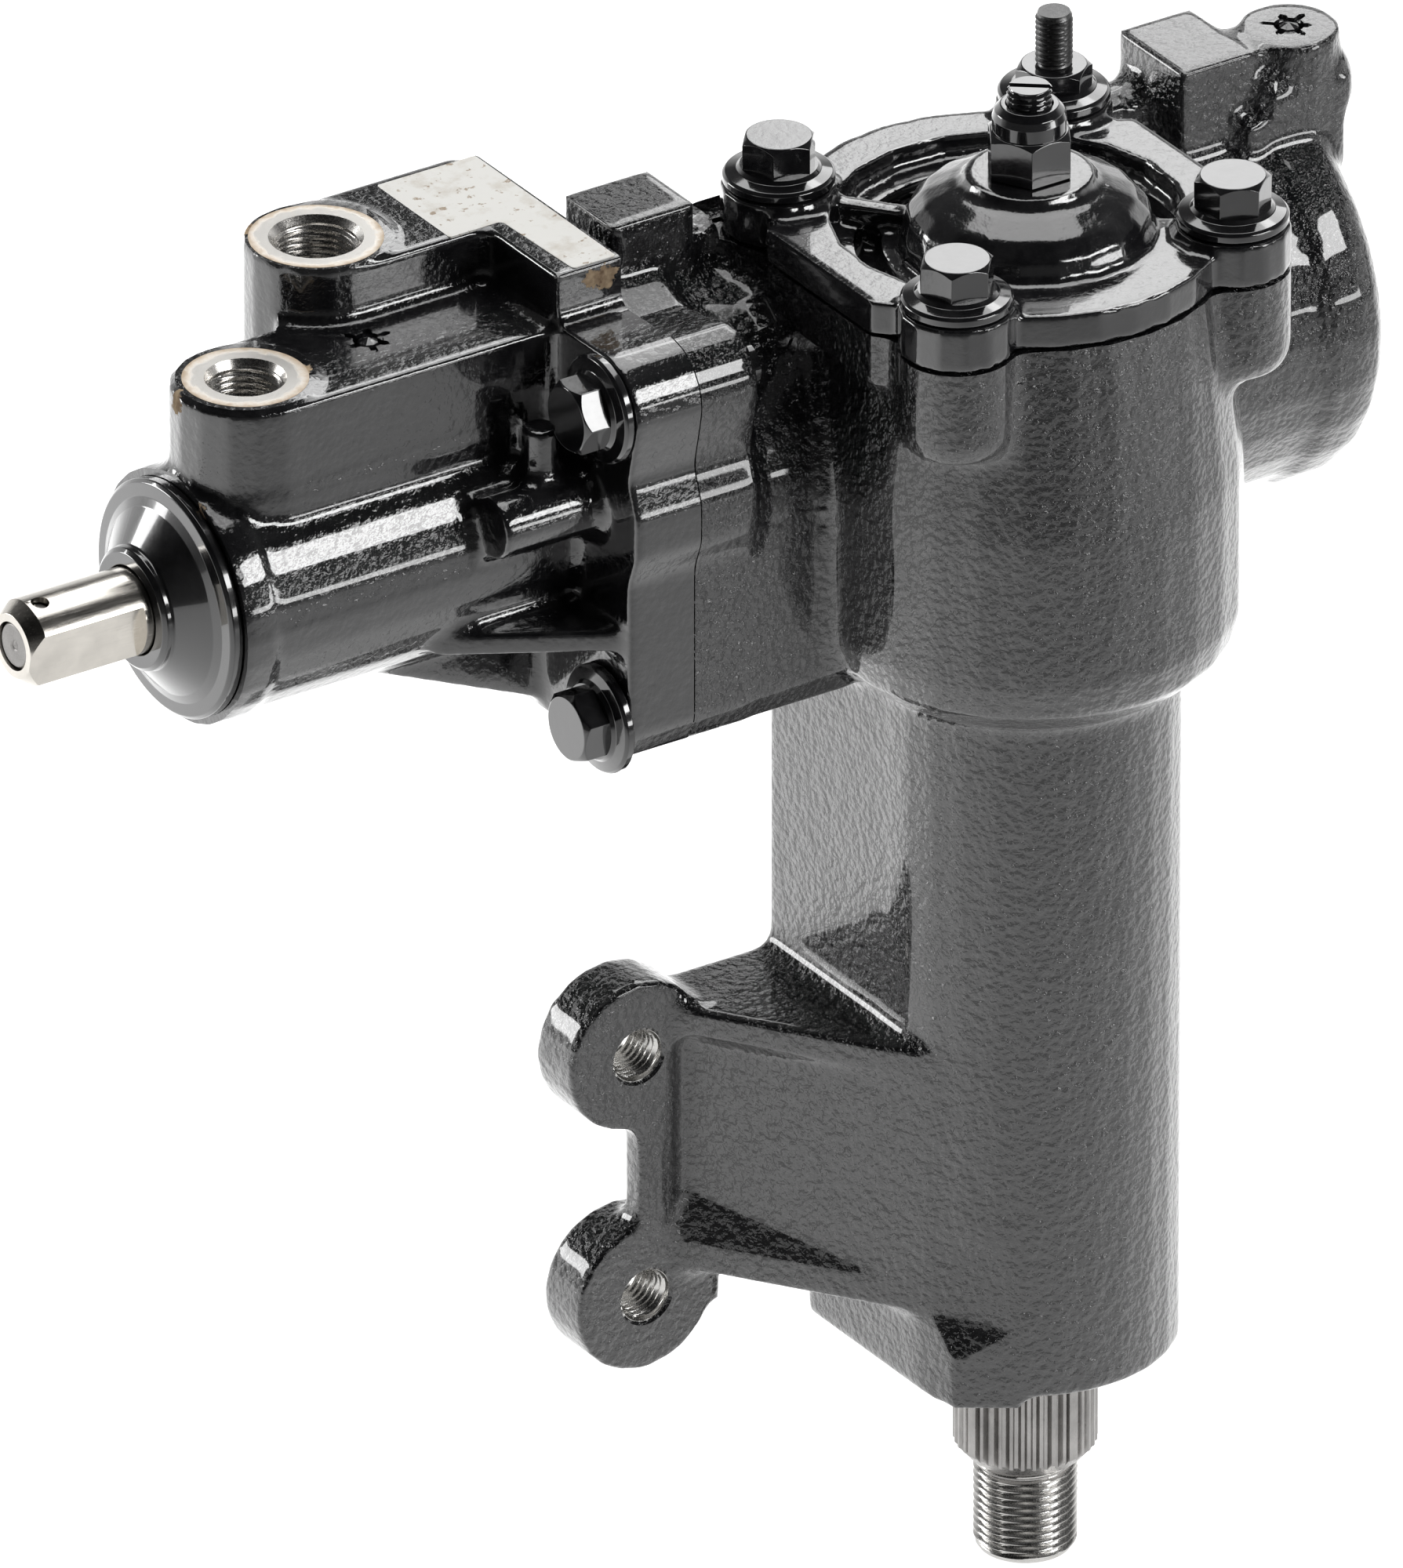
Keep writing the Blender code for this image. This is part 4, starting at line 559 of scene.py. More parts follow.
def casting(name, node, stretches, plugs, lumps=()):
    """The CAD casting, ready to be remeshed.

    Stretches (axis, value, push) draw its machined faces out, plugs (radius, low, high, place) fill its
    holes, and lumps are the corners of solids that are added. All of them in millimetres.
    """
    bm = bmesh.new()
    bm.from_mesh(NODES[node].data)
    for axis, value, push in stretches:
        for vertex in bm.verts:
            if abs(vertex.co[axis] - value * MM) < 0.02 * MM:
                vertex.co[axis] += push * MM
    for radius, low, high, place in plugs:
        add_rod(bm, radius, low, high, place)
    for corners in lumps:
        bmesh.ops.convex_hull(bm, input=[bm.verts.new(Vector(corner) * MM) for corner in corners])
    bmesh.ops.remove_doubles(bm, verts=bm.verts, dist=WELD)
    bmesh.ops.recalc_face_normals(bm, faces=bm.faces)
    return from_metres(name, bm)


def cast_skin(item, voxel, fillet, rounds, carve=()):
    """Carves the shape, rounds its inner corners by growing and shrinking it, then eases every edge."""
    remesh(item, voxel)
    if carve:
        cut(item, *carve)
    inflate(item, fillet)
    remesh(item, voxel)
    relax(item, 2)
    inflate(item, -fillet)
    relax(item, rounds)


def stakes(centre, turn):
    """Chisel marks that hold a ball plug: tools for six short notches round its hole."""
    x, y, z = centre
    start = 2.9
    tools = []
    notches = ((6.0, 0.8), (5.2, 1.0), (6.4, 0.7), (5.4, 0.9), (6.1, 0.8), (5.0, 1.0))
    for index, (stop, half) in enumerate(notches):
        spin = Matrix.Rotation(turn + index * 1.05 + 0.12 * math.sin(5.0 * index), 4, "Z")
        outline = [(start, -half), (stop - half, -half), (stop, 0.0), (stop - half, half), (start, half)]
        tools.append(prism("stake", outline, z - 0.9, z + 2.0, at(x, y, 0.0, spin)))
    return tools


def gear_housing():
    front = PARTING_X + PARTING_HALF_GAP
    low_x = front - 4.8
    plugs = [
        (38.3, low_x, 89.0, on_worm()),
        (36.6, 226.0, COVER_SEAT_Z + 3.8, ALONG_Z),
        (38.0, COVER_SEAT_Z - 4.0, COVER_SEAT_Z + 3.7, ALONG_Z),
        (23.2, 52.4, 232.0, ALONG_Z),
        (4.2, low_x, 91.0, at(0.0, WORM_Y, 303.0, ALONG_X)),
        (4.2, 303.0, 317.8, at(REAR_BOSS[0], REAR_BOSS[1], 0.0)),
        (6.0, 27.0, 49.8, at(FRAME_BOLT[0], 0.0, FRAME_BOLT[1], ALONG_Y)),
    ]
    plugs += [(6.2, 284.0, COVER_SEAT_Z + 3.9, at(x, y, 0.0)) for x, y in COVER_BOLTS]
    plugs += [(6.2, low_x, PARTING_X + 24.0, beside_worm(u, v)) for u, v in FLANGE_BOLTS[2:]]
    plugs += [(6.2, low_x, PARTING_X + 14.8, beside_worm(u, v)) for u, v in FLANGE_BOLTS[:2]]
    plugs += [(6.0, 36.2, 49.8, at(x, 0.0, z, ALONG_Y)) for x, z in (UPPER_EAR, LOWER_EAR)]
    stretches = [(0, front, -5.0), (2, COVER_SEAT_Z, 4.0)]
    web_slope = [
        (-64.7, 35.6, 74.8), (-61.0, 38.2, 87.4), (-61.0, 38.2, 74.6), (-28.5, -16.0, 75.2),
        (-31.0, -7.0, 74.8),
    ]
    foot = [
        (-31.0, -19.0, 56.0), (-31.0, -19.0, 60.0), (-19.0, -27.0, 60.0), (-19.0, -27.0, 67.0),
        (-33.0, -6.0, 60.0), (-33.0, -6.0, 66.0), (-5.0, 0.0, 58.0), (-5.0, 0.0, 84.0),
    ]
    facet = [(-32.2, -19.9, 57.5), (-17.2, -29.5, 68.5), (-26.6, -18.2, 79.0), (-36.5, -5.5, 71.5)]
    shave = hull("shave", facet + [(x, y, 88.0) for x, y, z in facet])
    skin = casting("gear_casting", "gear_housing", stretches, plugs, [web_slope, foot])
    cast_skin(skin, 1.1, 2.2, 5, [shave])
    tools = [
        box("front_plane", (-140.0, -60.0, 150.0), (front, 160.0, 380.0)),
        box("cover_plane", (-48.6, -60.0, COVER_SEAT_Z), (48.6, 57.4, 340.0)),
        rod("cylinder", 37.5, PARTING_X - 3.0, 88.0, on_worm(), BORE_SIDES),
        rod("chamber", 36.0, 228.0, 320.0, ALONG_Z, BORE_SIDES),
        rod("seal_step", 37.2, COVER_SEAT_Z - 3.0, 320.0, ALONG_Z, BORE_SIDES),
        rod("tube", 18.1, 38.0, 232.0, ALONG_Z),
        rod("seals", 22.3, 40.0, 72.3, ALONG_Z, BORE_SIDES),
        rod("bearing", 22.3, 189.0, 231.0, ALONG_Z, BORE_SIDES),
        rod("tube_mouth", 22.2, 51.0, 53.2, ALONG_Z, BORE_SIDES, 23.4),
        rod("drilling", 3.5, PARTING_X - 2.0, 90.0, at(0.0, WORM_Y, 303.0, ALONG_X), HOLE_SIDES),
        rod("plug_hole", 3.3, 305.0, 320.0, at(REAR_BOSS[0], REAR_BOSS[1], 0.0), HOLE_SIDES),
        rod("frame_thread", 6.1, 28.0, 52.0, at(FRAME_BOLT[0], 0.0, FRAME_BOLT[1], ALONG_Y)),
    ]
    for x, z in (UPPER_EAR, LOWER_EAR):
        tools.append(rod("ear_thread", 6.1, 30.0, 56.0, at(x, 0.0, z, ALONG_Y)))
        tools.append(rod("ear_mouth", 8.0, 34.6, 37.2, at(x, 0.0, z, ALONG_Y), 64, 5.6))
    for x, y in COVER_BOLTS:
        depth = 286.0 if y < 0.0 else 295.0
        tools.append(rod("cover_tap", 5.3, depth, 320.0, at(x, y, 0.0), TAP_SIDES))
    tools += [rod("flange_tap", 5.3, -84.0, -57.0, beside_worm(u, v), TAP_SIDES) for u, v in FLANGE_BOLTS]
    tools += stakes(REAR_BOSS, 0.4)
    cut(skin, *tools)
    dress(skin, CAST_ENAMEL, "housing", "cast_housing", "gear_housing", even=False)


def valve_housing():
    back = PARTING_X - PARTING_HALF_GAP
    small = at(SMALL_PORT[0], SMALL_PORT[1], 0.0)
    large = at(LARGE_PORT[0], LARGE_PORT[1], 0.0)
    small_face = SMALL_PORT[2] + PORT_FACE_RISE
    large_face = LARGE_PORT[2] + PORT_FACE_RISE
    plugs = [
        (20.0, -178.0, back + 4.8, on_worm()),
        (24.0, -101.0, back + 4.7, on_worm()),
        (43.2, back - 3.0, back + 4.6, on_worm()),
        (16.0, -183.8, -150.0, on_worm()),
        (12.2, 271.0, SMALL_PORT[2] + 3.9, small),
        (12.2, 260.0, LARGE_PORT[2] + 3.9, large),
        (3.9, 293.0, BALL_PLUG[2] - 0.1, at(BALL_PLUG[0], BALL_PLUG[1], 0.0)),
    ]
    plugs += [(6.6, FLANGE_FRONT_X + 0.3, back + 4.8, beside_worm(u, v)) for u, v in FLANGE_BOLTS]
    stretches = [
        (0, back, 5.0),
        (0, VALVE_FRONT_X, -4.0),
        (2, small_face, 4.0),
        (2, large_face, 4.0),
    ]
    ledge = [(x, y, z) for x in (-166.0, -112.0) for y in (34.8, 44.0) for z in (266.0, 281.5)]
    skin = casting("valve_casting", "valve_housing", stretches, plugs, [ledge])
    cast_skin(skin, 0.85, 1.6, 3)
    seal_groove = [(43.0, -70.0), (43.0, back - 2.6), (40.0, back - 2.6), (40.0, -70.0)]
    tools = [
        box("back_plane", (back, -60.0, 150.0), (-40.0, 160.0, 380.0)),
        box("front_plane", (-220.0, -60.0, 150.0), (VALVE_FRONT_X, 160.0, 380.0)),
        box("small_port_plane", (-186.0, 30.0, small_face), (-146.5, 66.0, 312.0)),
        box("large_port_plane", (-148.0, 56.0, large_face), (-113.0, 96.0, 324.0)),
        rod("valve_bore", 19.3, -158.0, -60.0, on_worm(), BORE_SIDES),
        rod("thrust_bore", 23.3, -100.0, -60.0, on_worm(), BORE_SIDES),
        rod("needle_bore", 13.3, -175.0, -157.0, on_worm()),
        rod("seal_bore", 15.3, -195.0, -173.9, on_worm()),
        rod("small_port", 8.1, 272.5, 320.0, small),
        rod("small_port_mouth", 8.35, 301.9, 304.1, small, 64, 9.9),
        rod("large_port", 9.1, 298.0, 330.0, large),
        rod("large_port_mouth", 9.35, 314.3, 316.7, large, 64, 11.3),
        rod("large_drilling", 4.5, 262.0, 299.0, large, HOLE_SIDES),
        rod("plug_hole", 3.3, 294.0, 310.0, at(BALL_PLUG[0], BALL_PLUG[1], 0.0), HOLE_SIDES),
        turned("seal_groove", seal_groove, on_worm()),
    ]
    tools += [rod("flange_hole", 5.6, -100.0, -70.0, beside_worm(u, v), HOLE_SIDES) for u, v in FLANGE_BOLTS]
    tools += stakes(BALL_PLUG, 0.1)
    cut(skin, *tools)
    dress(skin, VALVE_ENAMEL, "housing", "valve_casting", "valve_housing", even=False)


def sector_cover():
    plugs = [(23.2, 282.5, 305.0, ALONG_Z), (5.6, 300.0, 327.8, ALONG_Z)]
    plugs += [(6.4, COVER_BOTTOM_Z + 1.0, COVER_BOSS_Z - 0.1, at(x, y, 0.0)) for x, y in COVER_BOLTS]
    profile = [(34.4, 304.9), (34.4, 312.0), (29.0, 312.0), (29.0, 304.9)]
    pocket = turned("pocket", profile, at(0.0, 4.0, 0.0))
    low, high = 290.0, 330.0
    keep = [box("front_plate", (-60.0, -60.0, low), (60.0, -12.0, high))]
    keep.append(rod("dome", 28.4, low, high, ALONG_Z))
    keep += [rod("boss", 14.2, low, high, at(x, y, 0.0)) for x, y in COVER_BOLTS]
    for angle in (-28.0, 52.0, 128.0, 208.0):
        turn = Matrix.Rotation(math.radians(angle), 4, "Z")
        keep.append(box("rib", (0.0, -2.4, low), (60.0, 2.4, high), turn))
    cut(pocket, *keep)
    skin = casting("cover_casting", "sector_cover", [], plugs)
    cast_skin(skin, 0.7, 0.8, 1, [pocket])
    tools = [
        rod("bushing_bore", 19.0, 270.0, 304.5, ALONG_Z),
        rod("adjuster_hole", 5.3, 290.0, 340.0, ALONG_Z, 48),
    ]
    tools += [rod("cover_hole", 5.6, 300.0, 322.0, at(x, y, 0.0), HOLE_SIDES) for x, y in COVER_BOLTS]
    cut(skin, *tools)
    dress(skin, COVER_ENAMEL, "housing", "valve_casting", "sector_cover", even=False)


# Threads and fasteners


def thread(name, crest, root, pitch, low, high, place, wall=None, steps=40, ends=1.0):
    """A threaded rod, or with a wall radius a threaded sleeve. The thread runs out at both ends."""
    rows_per_pitch = 6
    count = max(4, round((high - low) / pitch * rows_per_pitch))
    bm = bmesh.new()
    rows = []
    for row in range(count + 1):
        height = low + (high - low) * row / count
        fade = min(1.0, (height - low) / (ends * pitch), (high - height) / (ends * pitch))
        radii = []
        for step in range(steps):
            phase = (height / pitch - step / steps) % 1.0
            depth = (crest - root) * min(1.0, 2.4 * abs(phase - 0.5)) * fade
            radii.append(root + depth if wall is None else crest - depth)
        rows.append(ring(bm, radii, height))
    if wall is not None:
        rows += [ring(bm, [wall] * steps, height) for height in (high, low)]
        rows.append(rows[0])
    for first, second in zip(rows, rows[1:]):
        for step in range(steps):
            following = (step + 1) % steps
            bm.faces.new((first[step], first[following], second[following], second[step]))
    if wall is None:
        bm.faces.new(rows[0])
        bm.faces.new(rows[-1])
    bmesh.ops.recalc_face_normals(bm, faces=bm.faces)
    return from_bmesh(name, bm, place)


def hexagon(name, corner, low, high, place, chamfer=1.0):
    """A hexagon whose top corners are turned off by a cone."""
    head = prism(name, arc((0.0, 0.0), corner, 0.0, 300.0, 5), low, high, place)
    flat = corner * math.cos(math.pi / 6.0)
    slope = (corner - flat) * chamfer
    limit = turned("limit", [
        (0.0, high + 1.0), (flat - 0.25, high + 0.001), (corner + 0.05, high - slope - 0.12),
        (corner + 1.0, high - slope - 1.0), (corner + 1.0, low - 1.0), (0.0, low - 1.0),
    ], place, 72)
    combine(head, [limit], "INTERSECT", "EXACT")
    return soften(head, 0.28, 2, 20.0)


def flange_bolt(name, place, hex_top, shank, node):
    """A flanged hexagon bolt: a washer face with a raised skirt and a chamfered head."""
    skirt = turned(name, eased([
        (0.0, 4.2, 0.0), (8.3, 4.1, 0.0), (9.0, 3.3, 0.5), (11.4, 2.7, 0.4), (11.98, 2.1, 0.5),
        (11.98, 0.7, 0.35), (11.5, 0.3, 0.1), (0.0, 0.3, 0.0),
    ], 3), place)
    head = hexagon("head", 8.3, 2.6, hex_top, place)
    join(skirt, head, rod("shank", 4.7, -shank, 1.0, place, 48), solver="EXACT")
    return dress(skirt, BOLT_ENAMEL, "housing", "black_fastener", node, crease=28.0)


def cover_bolts():
    number = 0
    for x, y in COVER_BOLTS:
        place = at(x, y, COVER_BOSS_Z, Matrix.Rotation(math.radians(0.7 * x + 13.0), 4, "Z"))
        shank = COVER_BOSS_Z - (287.0 if y < 0.0 else 296.5)
        if x > 0.0 and y > 0.0:
            flange_bolt("stud_bolt", place, 8.2, shank, "cover_stud_bolt")
            stud = thread("stud_thread", *M8, 7.6, 20.5, place)
            dress(stud, STUD_STEEL, "housing", "black_fastener")
            continue
        number += 1
        flange_bolt(f"cover_flange_bolt_{number}", place, 11.0, shank, f"cover_bolt_{number}")


def valve_bolts():
    turns = (0.0, 14.0, 21.0, 8.0)
    for number, ((u, v), turn) in enumerate(zip(FLANGE_BOLTS, turns), 1):
        spin = TOWARDS_DRIVER @ Matrix.Rotation(math.radians(turn), 4, "Z")
        place = at(FLANGE_FRONT_X, WORM_Y + u, WORM_Z + v, spin)
        flange_bolt(f"valve_flange_bolt_{number}", place, 10.0, 36.0, f"valve_bolt_{number}")


def lash_adjustment():
    nut = hexagon("lock_nut", 9.7, COLLAR_TOP_Z + 0.3, LOCK_NUT_TOP_Z, ALONG_Z, 0.8)
    collar = turned("nut_collar", eased([
        (0.0, 344.0, 0.0), (6.2, 344.0, 0.4), (7.4, 342.6, 0.8), (7.9, 341.0, 0.5), (7.9, 337.0, 0.0),
        (0.0, 337.0, 0.0),
    ]))
    join(nut, collar, solver="EXACT")
    cut(nut, rod("nut_bore", 5.15, 325.0, 346.0, ALONG_Z, 48), solver="EXACT")
    dress(nut, BOLT_ENAMEL, "housing", "black_fastener", "adjuster_lock_nut", crease=28.0)
    screw = thread("adjuster_screw", *M10_FINE, 303.5, ADJUSTER_TOP_Z, ALONG_Z, ends=0.6)
    shank = turned("adjuster_shank", [
        (0.0, 304.0), (4.6, 304.0), (4.6, 297.4), (8.6, 297.4), (8.6, 293.4), (0.0, 293.4),
    ], steps=48)
    join(screw, shank, solver="EXACT")
    slot_turn = Matrix.Rotation(math.radians(-38.0), 4, "Z")
    slot = box("slot", (-8.0, -0.85, ADJUSTER_TOP_Z - 2.4), (8.0, 0.85, 350.0), slot_turn)
    cut(screw, slot, solver="EXACT")
    dress(screw, BOLT_ENAMEL, "housing", "plain_steel", "lash_adjuster_screw", crease=28.0)


# Shafts and small trim


def seal_cover():
    profile = eased([
        (9.85, -186.0, 0.0), (9.85, -191.5, 0.35), (12.6, -191.5, 0.5), (13.6, -190.6, 0.6),
        (13.6, -189.2, 0.9), (20.6, -184.0, 1.6), (22.6, -183.1, 0.8), (25.4, -182.9, 0.7),
        (26.2, -182.2, 0.5), (26.2, -180.3, 0.0), (19.5, -180.3, 0.0), (12.0, -186.0, 0.0),
    ], 4)
    cap = turned("input_seal_cap", profile, on_worm())
    dress(cap, CAP_ENAMEL, "housing", "black_fastener", "seal_cover")


def pin_hole():
    """The tool for the cross hole through the input shaft and the torsion bar."""
    place = on_worm(INPUT_TIP_X + 6.0, Matrix.Rotation(PIN_ANGLE, 4, "X") @ ALONG_Y)
    return rod("pin_hole", 2.0, -12.0, 12.0, place, HOLE_SIDES)


def input_shaft():
    tip = INPUT_TIP_X
    profile = eased([
        (0.0, -95.5, 0.0), (8.0, -95.5, 0.0), (8.0, -113.5, 0.0), (11.5, -113.5, 0.0), (11.5, -152.0, 0.0),
        (INPUT_RADIUS, -154.0, 0.0), (INPUT_RADIUS, tip + 3.0, 0.5), (7.1, tip, 0.25), (0.0, tip, 0.0),
    ], 3)
    shaft = turned("steering_input_shaft", profile, on_worm())
    tools = [
        rod("bar_head", 5.4, tip - 2.0, -205.0, on_worm(), 48),
        rod("bar_bore", 4.0, -206.0, -80.0, on_worm(), HOLE_SIDES),
        pin_hole(),
    ]
    for side in (0.0, math.pi):
        turn = ALONG_X @ Matrix.Rotation(FLAT_ANGLE + side, 4, "Z")
        low, high = (FLAT_REACH, -12.0, tip - 2.0), (16.0, 12.0, tip + FLAT_LENGTH)
        tools.append(box("flat", low, high, on_worm(0.0, turn)))
    for index in range(6):
        turn = ALONG_X @ Matrix.Rotation(index * math.pi / 3.0, 4, "Z")
        tools.append(box("slot", (9.9, -2.0, -146.0), (14.5, 2.0, -119.5), on_worm(0.0, turn)))
    cut(shaft, *tools)
    soften(shaft, 0.22, 2, 28.0)
    dress(shaft, PLATED, "input", "bright_shaft", "input_shaft", crease=24.0)
    bar = turned("torsion_bar_head", eased([
        (0.0, tip + 0.5, 0.0), (1.0, tip + 0.9, 0.0), (1.6, tip + 0.5, 0.0), (4.6, tip + 0.4, 0.3),
        (5.1, tip + 1.0, 0.2), (5.1, -209.0, 0.0), (3.6, -207.0, 0.0), (3.6, -95.0, 0.0), (5.1, -93.0, 0.0),
        (5.1, -84.0, 0.0), (0.0, -84.0, 0.0),
    ], 2), on_worm(), 64)
    cut(bar, pin_hole())
    dress(bar, PLAIN, "input", "machined_steel", "torsion_bar")


def spline_outline():
    """36 teeth with four of the spaces left filled, a quarter turn apart."""
    teeth = 36
    root = 14.2
    tip = 15.4
    points = []
    for tooth in range(teeth):
        filled = tooth % 9 == 0
        for share, radius in ((0.0, root), (0.16, root), (0.36, tip), (0.50, tip), (0.66, tip), (0.86, root)):
            angle = 2.0 * math.pi * (tooth + share) / teeth + math.radians(4.0)
            reach = tip if filled else radius
            points.append((reach * math.cos(angle), reach * math.sin(angle)))
    return points


def sector_shaft():
    """The shaft end that shows, with the journals above it, and the toothed sector from the CAD node."""
    splines = prism("output_spline_shaft", spline_outline(), 22.4, 53.5)
    limits = turned("limits", [
        (0.0, 56.0), (17.0, 56.0), (17.0, 26.6), (15.1, 25.6), (12.6, 22.6), (0.0, 22.6),
    ])
    combine(splines, [limits], "INTERSECT", "EXACT")
    upper = turned("upper_shaft", [
        (0.0, 228.0), (17.5, 228.0), (17.5, 60.0), (15.2, 55.5), (14.0, 53.0), (14.0, 50.0), (0.0, 50.0),
    ])
    neck = turned("neck", eased([
        (0.0, 24.0, 0.0), (11.2, 24.0, 0.0), (10.3, 21.6, 0.4), (10.3, 19.0, 0.0), (0.0, 19.0, 0.0),
    ]))
    join(splines, upper, neck, solver="EXACT")
    dress(splines, TURNED, "sector", "machined_steel", "sector_shaft", crease=26.0)
    tip = thread("output_thread", *UNF_7_8, 0.0, 22.0, ALONG_Z, steps=BORE_SIDES, ends=0.9)
    dress(tip, THREADED, "sector", "machined_steel", crease=50.0)
    bm = bmesh.new()
    bm.from_mesh(NODES["sector_shaft"].data)
    bmesh.ops.bisect_plane(
        bm, geom=bm.verts[:] + bm.edges[:] + bm.faces[:], plane_co=(0.0, 0.0, 0.227),
        plane_no=(0.0, 0.0, -1.0), clear_outer=True,
    )
    bmesh.ops.remove_doubles(bm, verts=bm.verts, dist=WELD)
    edges = [edge for edge in bm.edges if len(edge.link_faces) == 1]
    bmesh.ops.holes_fill(bm, edges=edges)
    bmesh.ops.recalc_face_normals(bm, faces=bm.faces)
    dress(from_metres("sector_teeth", bm), TURNED, "sector", "machined_steel")


def port_trim():
    """Threaded walls and bare sealing faces of the two hose ports."""
    for name, (x, y, z), crest, ring_in, ring_out, depth in (
        ("small_port", SMALL_PORT, 8.0, 8.75, 13.4, 16.0),
        ("large_port", LARGE_PORT, 9.0, 10.1, 14.3, 12.5),
    ):
        top = z + PORT_FACE_RISE
        place = at(x, y, 0.0)
        start = top - 1.4
        low, wall = start - depth, crest + 0.3
        sleeve = thread(name + "_thread", crest, crest - 0.85, 1.5, low, start, place, wall, 72)
        dress(sleeve, PORT_THREAD, "housing", "bright_shaft", crease=50.0)
        look = bare_face(name + "_face", ring_in + 2.2, ring_out, (x, y, top))
        face = turned(name + "_sealing_face", [
            (ring_out, top + 0.06), (ring_out, top - 0.3), (ring_in, top - 0.3), (ring_in, top + 0.06),
        ], place)
        dress(face, look, "housing", "bright_shaft")
        cone = turned(name + "_chamfer", [
            (ring_in + 0.25, top + 0.02), (ring_in + 0.25, top - 0.4), (crest + 0.25, start - 0.2),
            (crest - 0.1, start), (ring_in, top + 0.02),
        ], place)
        dress(cone, PORT_THREAD, "housing", "bright_shaft")


def ear_threads():
    for name, (x, z), start in (
        ("ear_thread_1", UPPER_EAR, 36.9),
        ("ear_thread_2", LOWER_EAR, 36.9),
        ("frame_thread", FRAME_BOLT, 28.3),
    ):
        sleeve = thread(name, *M12, start, 49.7, at(x, 0.0, z, ALONG_Y), 6.4, 64)
        dress(sleeve, THREADED, "housing", "machined_steel", crease=50.0)


def label_patch():
    """The bare off-white patch on the far deck, with worn edges and tan chips."""
    look = new_look("label_paint", (0.74, 0.72, 0.67), 0.6)
    stains = spread(look, noise(look, 130.0, 5.0, rough=0.7), 0.50, 0.75)
    chips = spread(look, noise(look, 420.0, 3.0, rough=0.6), 0.62, 0.68)
    tone = blend_colours(look, stains, (0.88, 0.87, 0.83), (0.66, 0.61, 0.53))
    wire(look, blend_colours(look, chips, tone, (0.42, 0.33, 0.24)), socket(look, "Base Color"))
    wire(look, bump(look, noise(look, 600.0, 3.0), 0.03), socket(look, "Normal"))
    top = LARGE_PORT[2] - 0.1
    outline = eased([
        (-105.5, 60.9, 0.6), (-92.4, 61.0, 1.4), (-91.6, 34.9, 0.9), (-80.9, 34.8, 0.7),
        (-80.6, 89.2, 0.8), (-105.4, 89.2, 0.8),
    ])
    patch = prism("label_patch", outline, top - 0.6, top + 0.12)
    dress(patch, look, "housing", "valve_casting")


# Camera, floor and light


def camera():
    azimuth = math.radians(-33.4)
    elevation = math.radians(28.0)
    right = Vector((math.cos(azimuth), math.sin(azimuth), 0.0))
    level = math.cos(elevation)
    back = Vector((math.sin(azimuth) * level, -math.cos(azimuth) * level, math.sin(elevation)))
    up = back.cross(right)
    target = right * -0.06875 + up * 0.1608
    distance = 12.0
    data = bpy.data.cameras.new("camera")
    data.lens = 1296.0
    data.sensor_width = 36.0
    data.clip_end = 60.0
    item = placed("camera", data)
    item.matrix_world = Matrix((
        (right.x, up.x, back.x, target.x + back.x * distance),
        (right.y, up.y, back.y, target.y + back.y * distance),
        (right.z, up.z, back.z, target.z + back.z * distance),
        (0.0, 0.0, 0.0, 1.0),
    ))
    bpy.context.scene.camera = item


def panel(name, place, target, width, height, power):
    data = bpy.data.lights.new(name, "AREA")
    data.shape = "RECTANGLE"
    data.size = width
    data.size_y = height
    data.energy = power
    item = placed(name, data)
    item.location = place
    item.rotation_euler = (Vector(target) - Vector(place)).to_track_quat("-Z", "Y").to_euler()


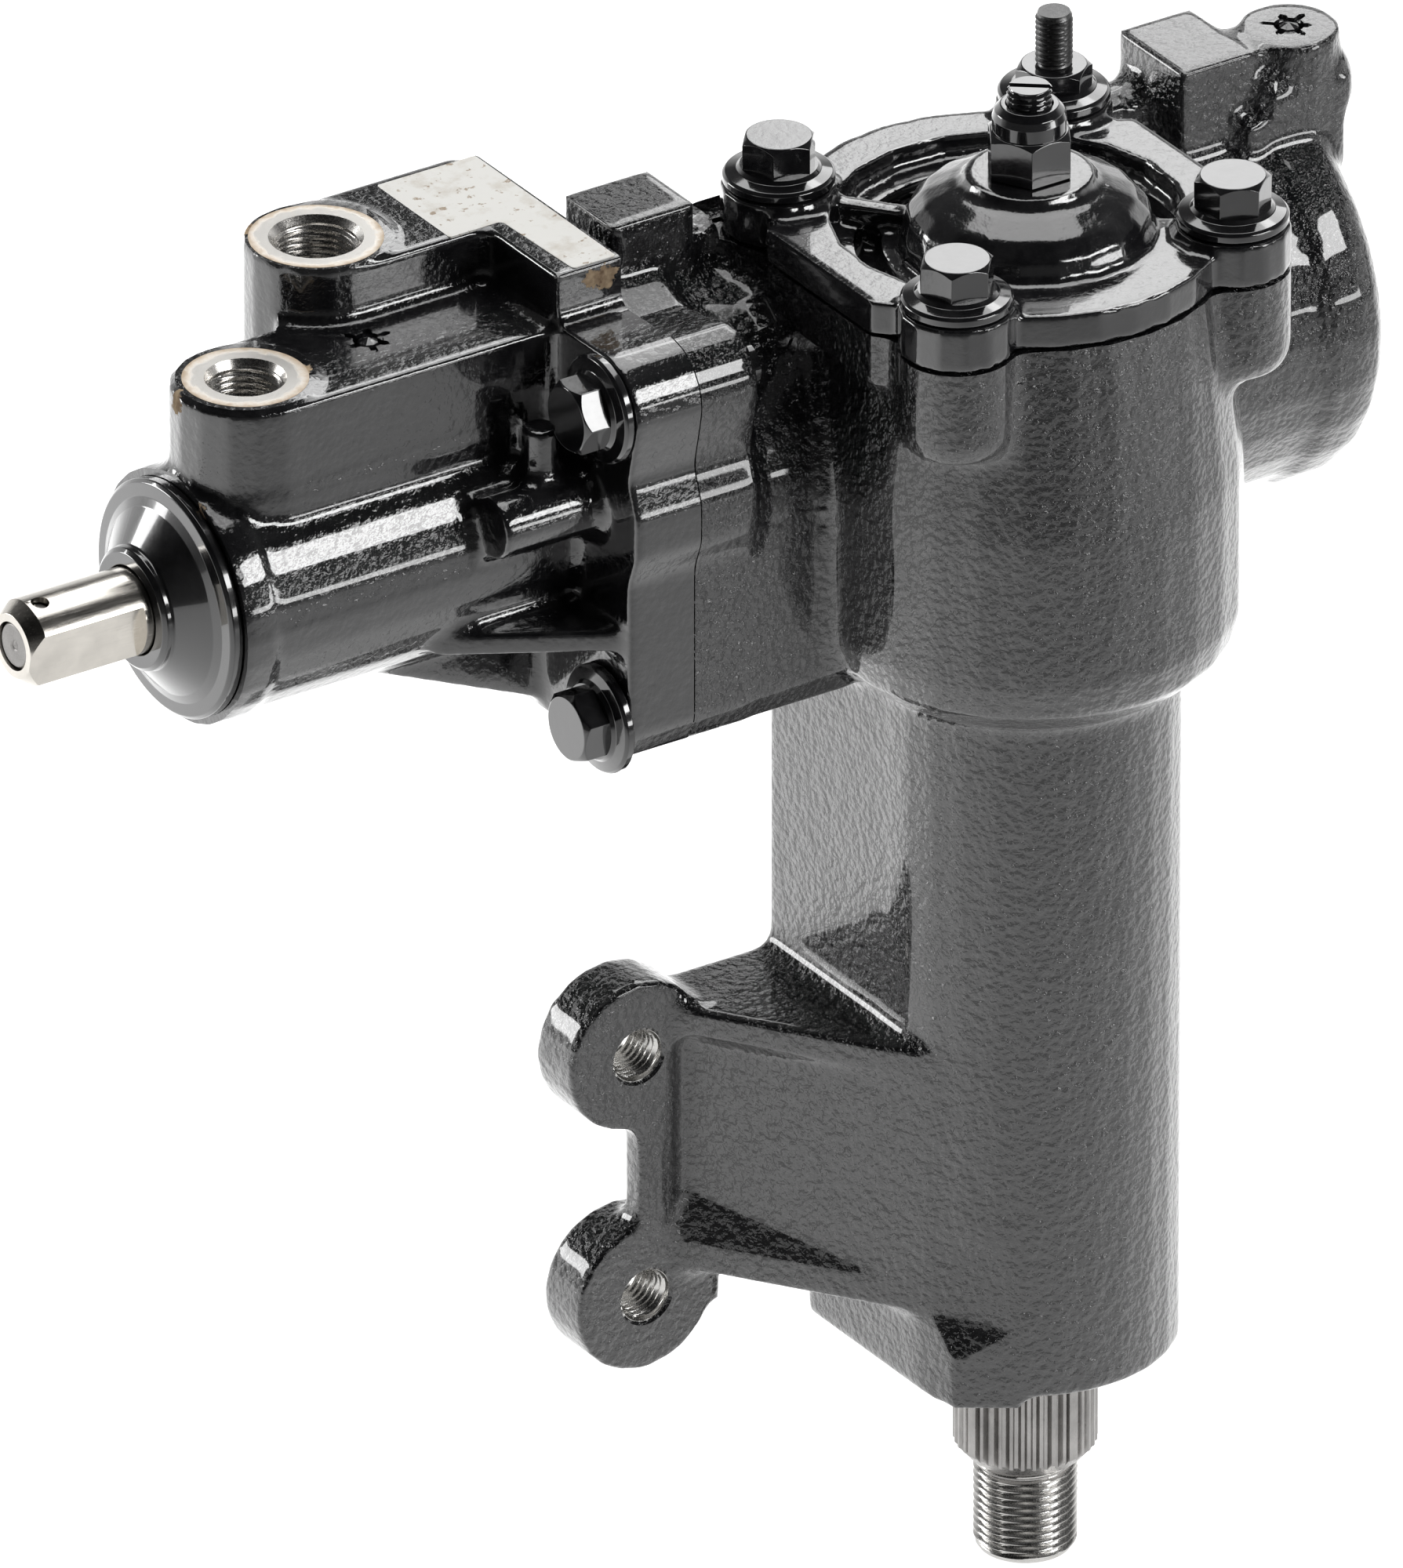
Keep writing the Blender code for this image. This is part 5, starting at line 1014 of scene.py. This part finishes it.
def paper():
    """White paper under the object. It glows for the camera, and on one side in reflections too."""
    bm = bmesh.new()
    bmesh.ops.create_grid(bm, x_segments=1, y_segments=1, size=PAPER_SIZE)
    floor = from_bmesh("floor", bm, at(0.0, 0.0, PAPER_Z))
    look = new_look("floor_paper", (0.66, 0.66, 0.66), 0.9)
    rays = add_node(look, "ShaderNodeLightPath")
    side = spread(look, measure(look, "DOT_PRODUCT", BRIGHTER_SIDE), -0.60, 0.26, 0.0, 1.25)
    mirrored = calculate(look, "MULTIPLY", rays.outputs["Is Glossy Ray"], side)
    seen = calculate(look, "MAXIMUM", rays.outputs["Is Camera Ray"], mirrored)
    socket(look, "Specular IOR Level").default_value = 0.0
    socket(look, "Emission Color").default_value = WHITE
    lift = add_node(look, "ShaderNodeMath", operation="MULTIPLY")
    lift.inputs[1].default_value = PAPER_LEVEL
    wire(look, seen, lift.inputs[0])
    wire(look, lift.outputs[0], socket(look, "Emission Strength"))
    floor.data.materials.append(look)


def room():
    """White behind the object and for the camera, and dark in front and overhead."""
    world = bpy.data.worlds.new("studio")
    bpy.context.scene.world = world
    world.use_nodes = True
    background = world.node_tree.nodes["Background"]
    background.inputs["Color"].default_value = WHITE
    rays = add_node(world, "ShaderNodeLightPath")
    seen = calculate(world, "MAXIMUM", rays.outputs["Is Camera Ray"], rays.outputs["Is Transmission Ray"])
    place = add_node(world, "ShaderNodeTexCoord")
    split = add_node(world, "ShaderNodeSeparateXYZ")
    wire(world, place.outputs["Generated"], split.inputs[0])
    height = spread(world, split.outputs["Z"], 0.16, 0.40, 1.0, 0.07)
    behind = spread(world, measure(world, "DOT_PRODUCT", BEHIND, "Generated"), -0.30, 0.30, 0.10, 1.0)
    sheet = calculate(world, "MULTIPLY", height, behind)
    wire(world, calculate(world, "MAXIMUM", seen, sheet), background.inputs["Strength"])


def studio():
    paper()
    room()
    for soft_box in SOFT_BOXES:
        panel(*soft_box)
    bpy.context.scene.view_settings.view_transform = "Standard"


finish_inner_nodes()
camera()
studio()
gear_housing()
valve_housing()
sector_cover()
cover_bolts()
valve_bolts()
lash_adjustment()
seal_cover()
input_shaft()
sector_shaft()
port_trim()
ear_threads()
label_patch()
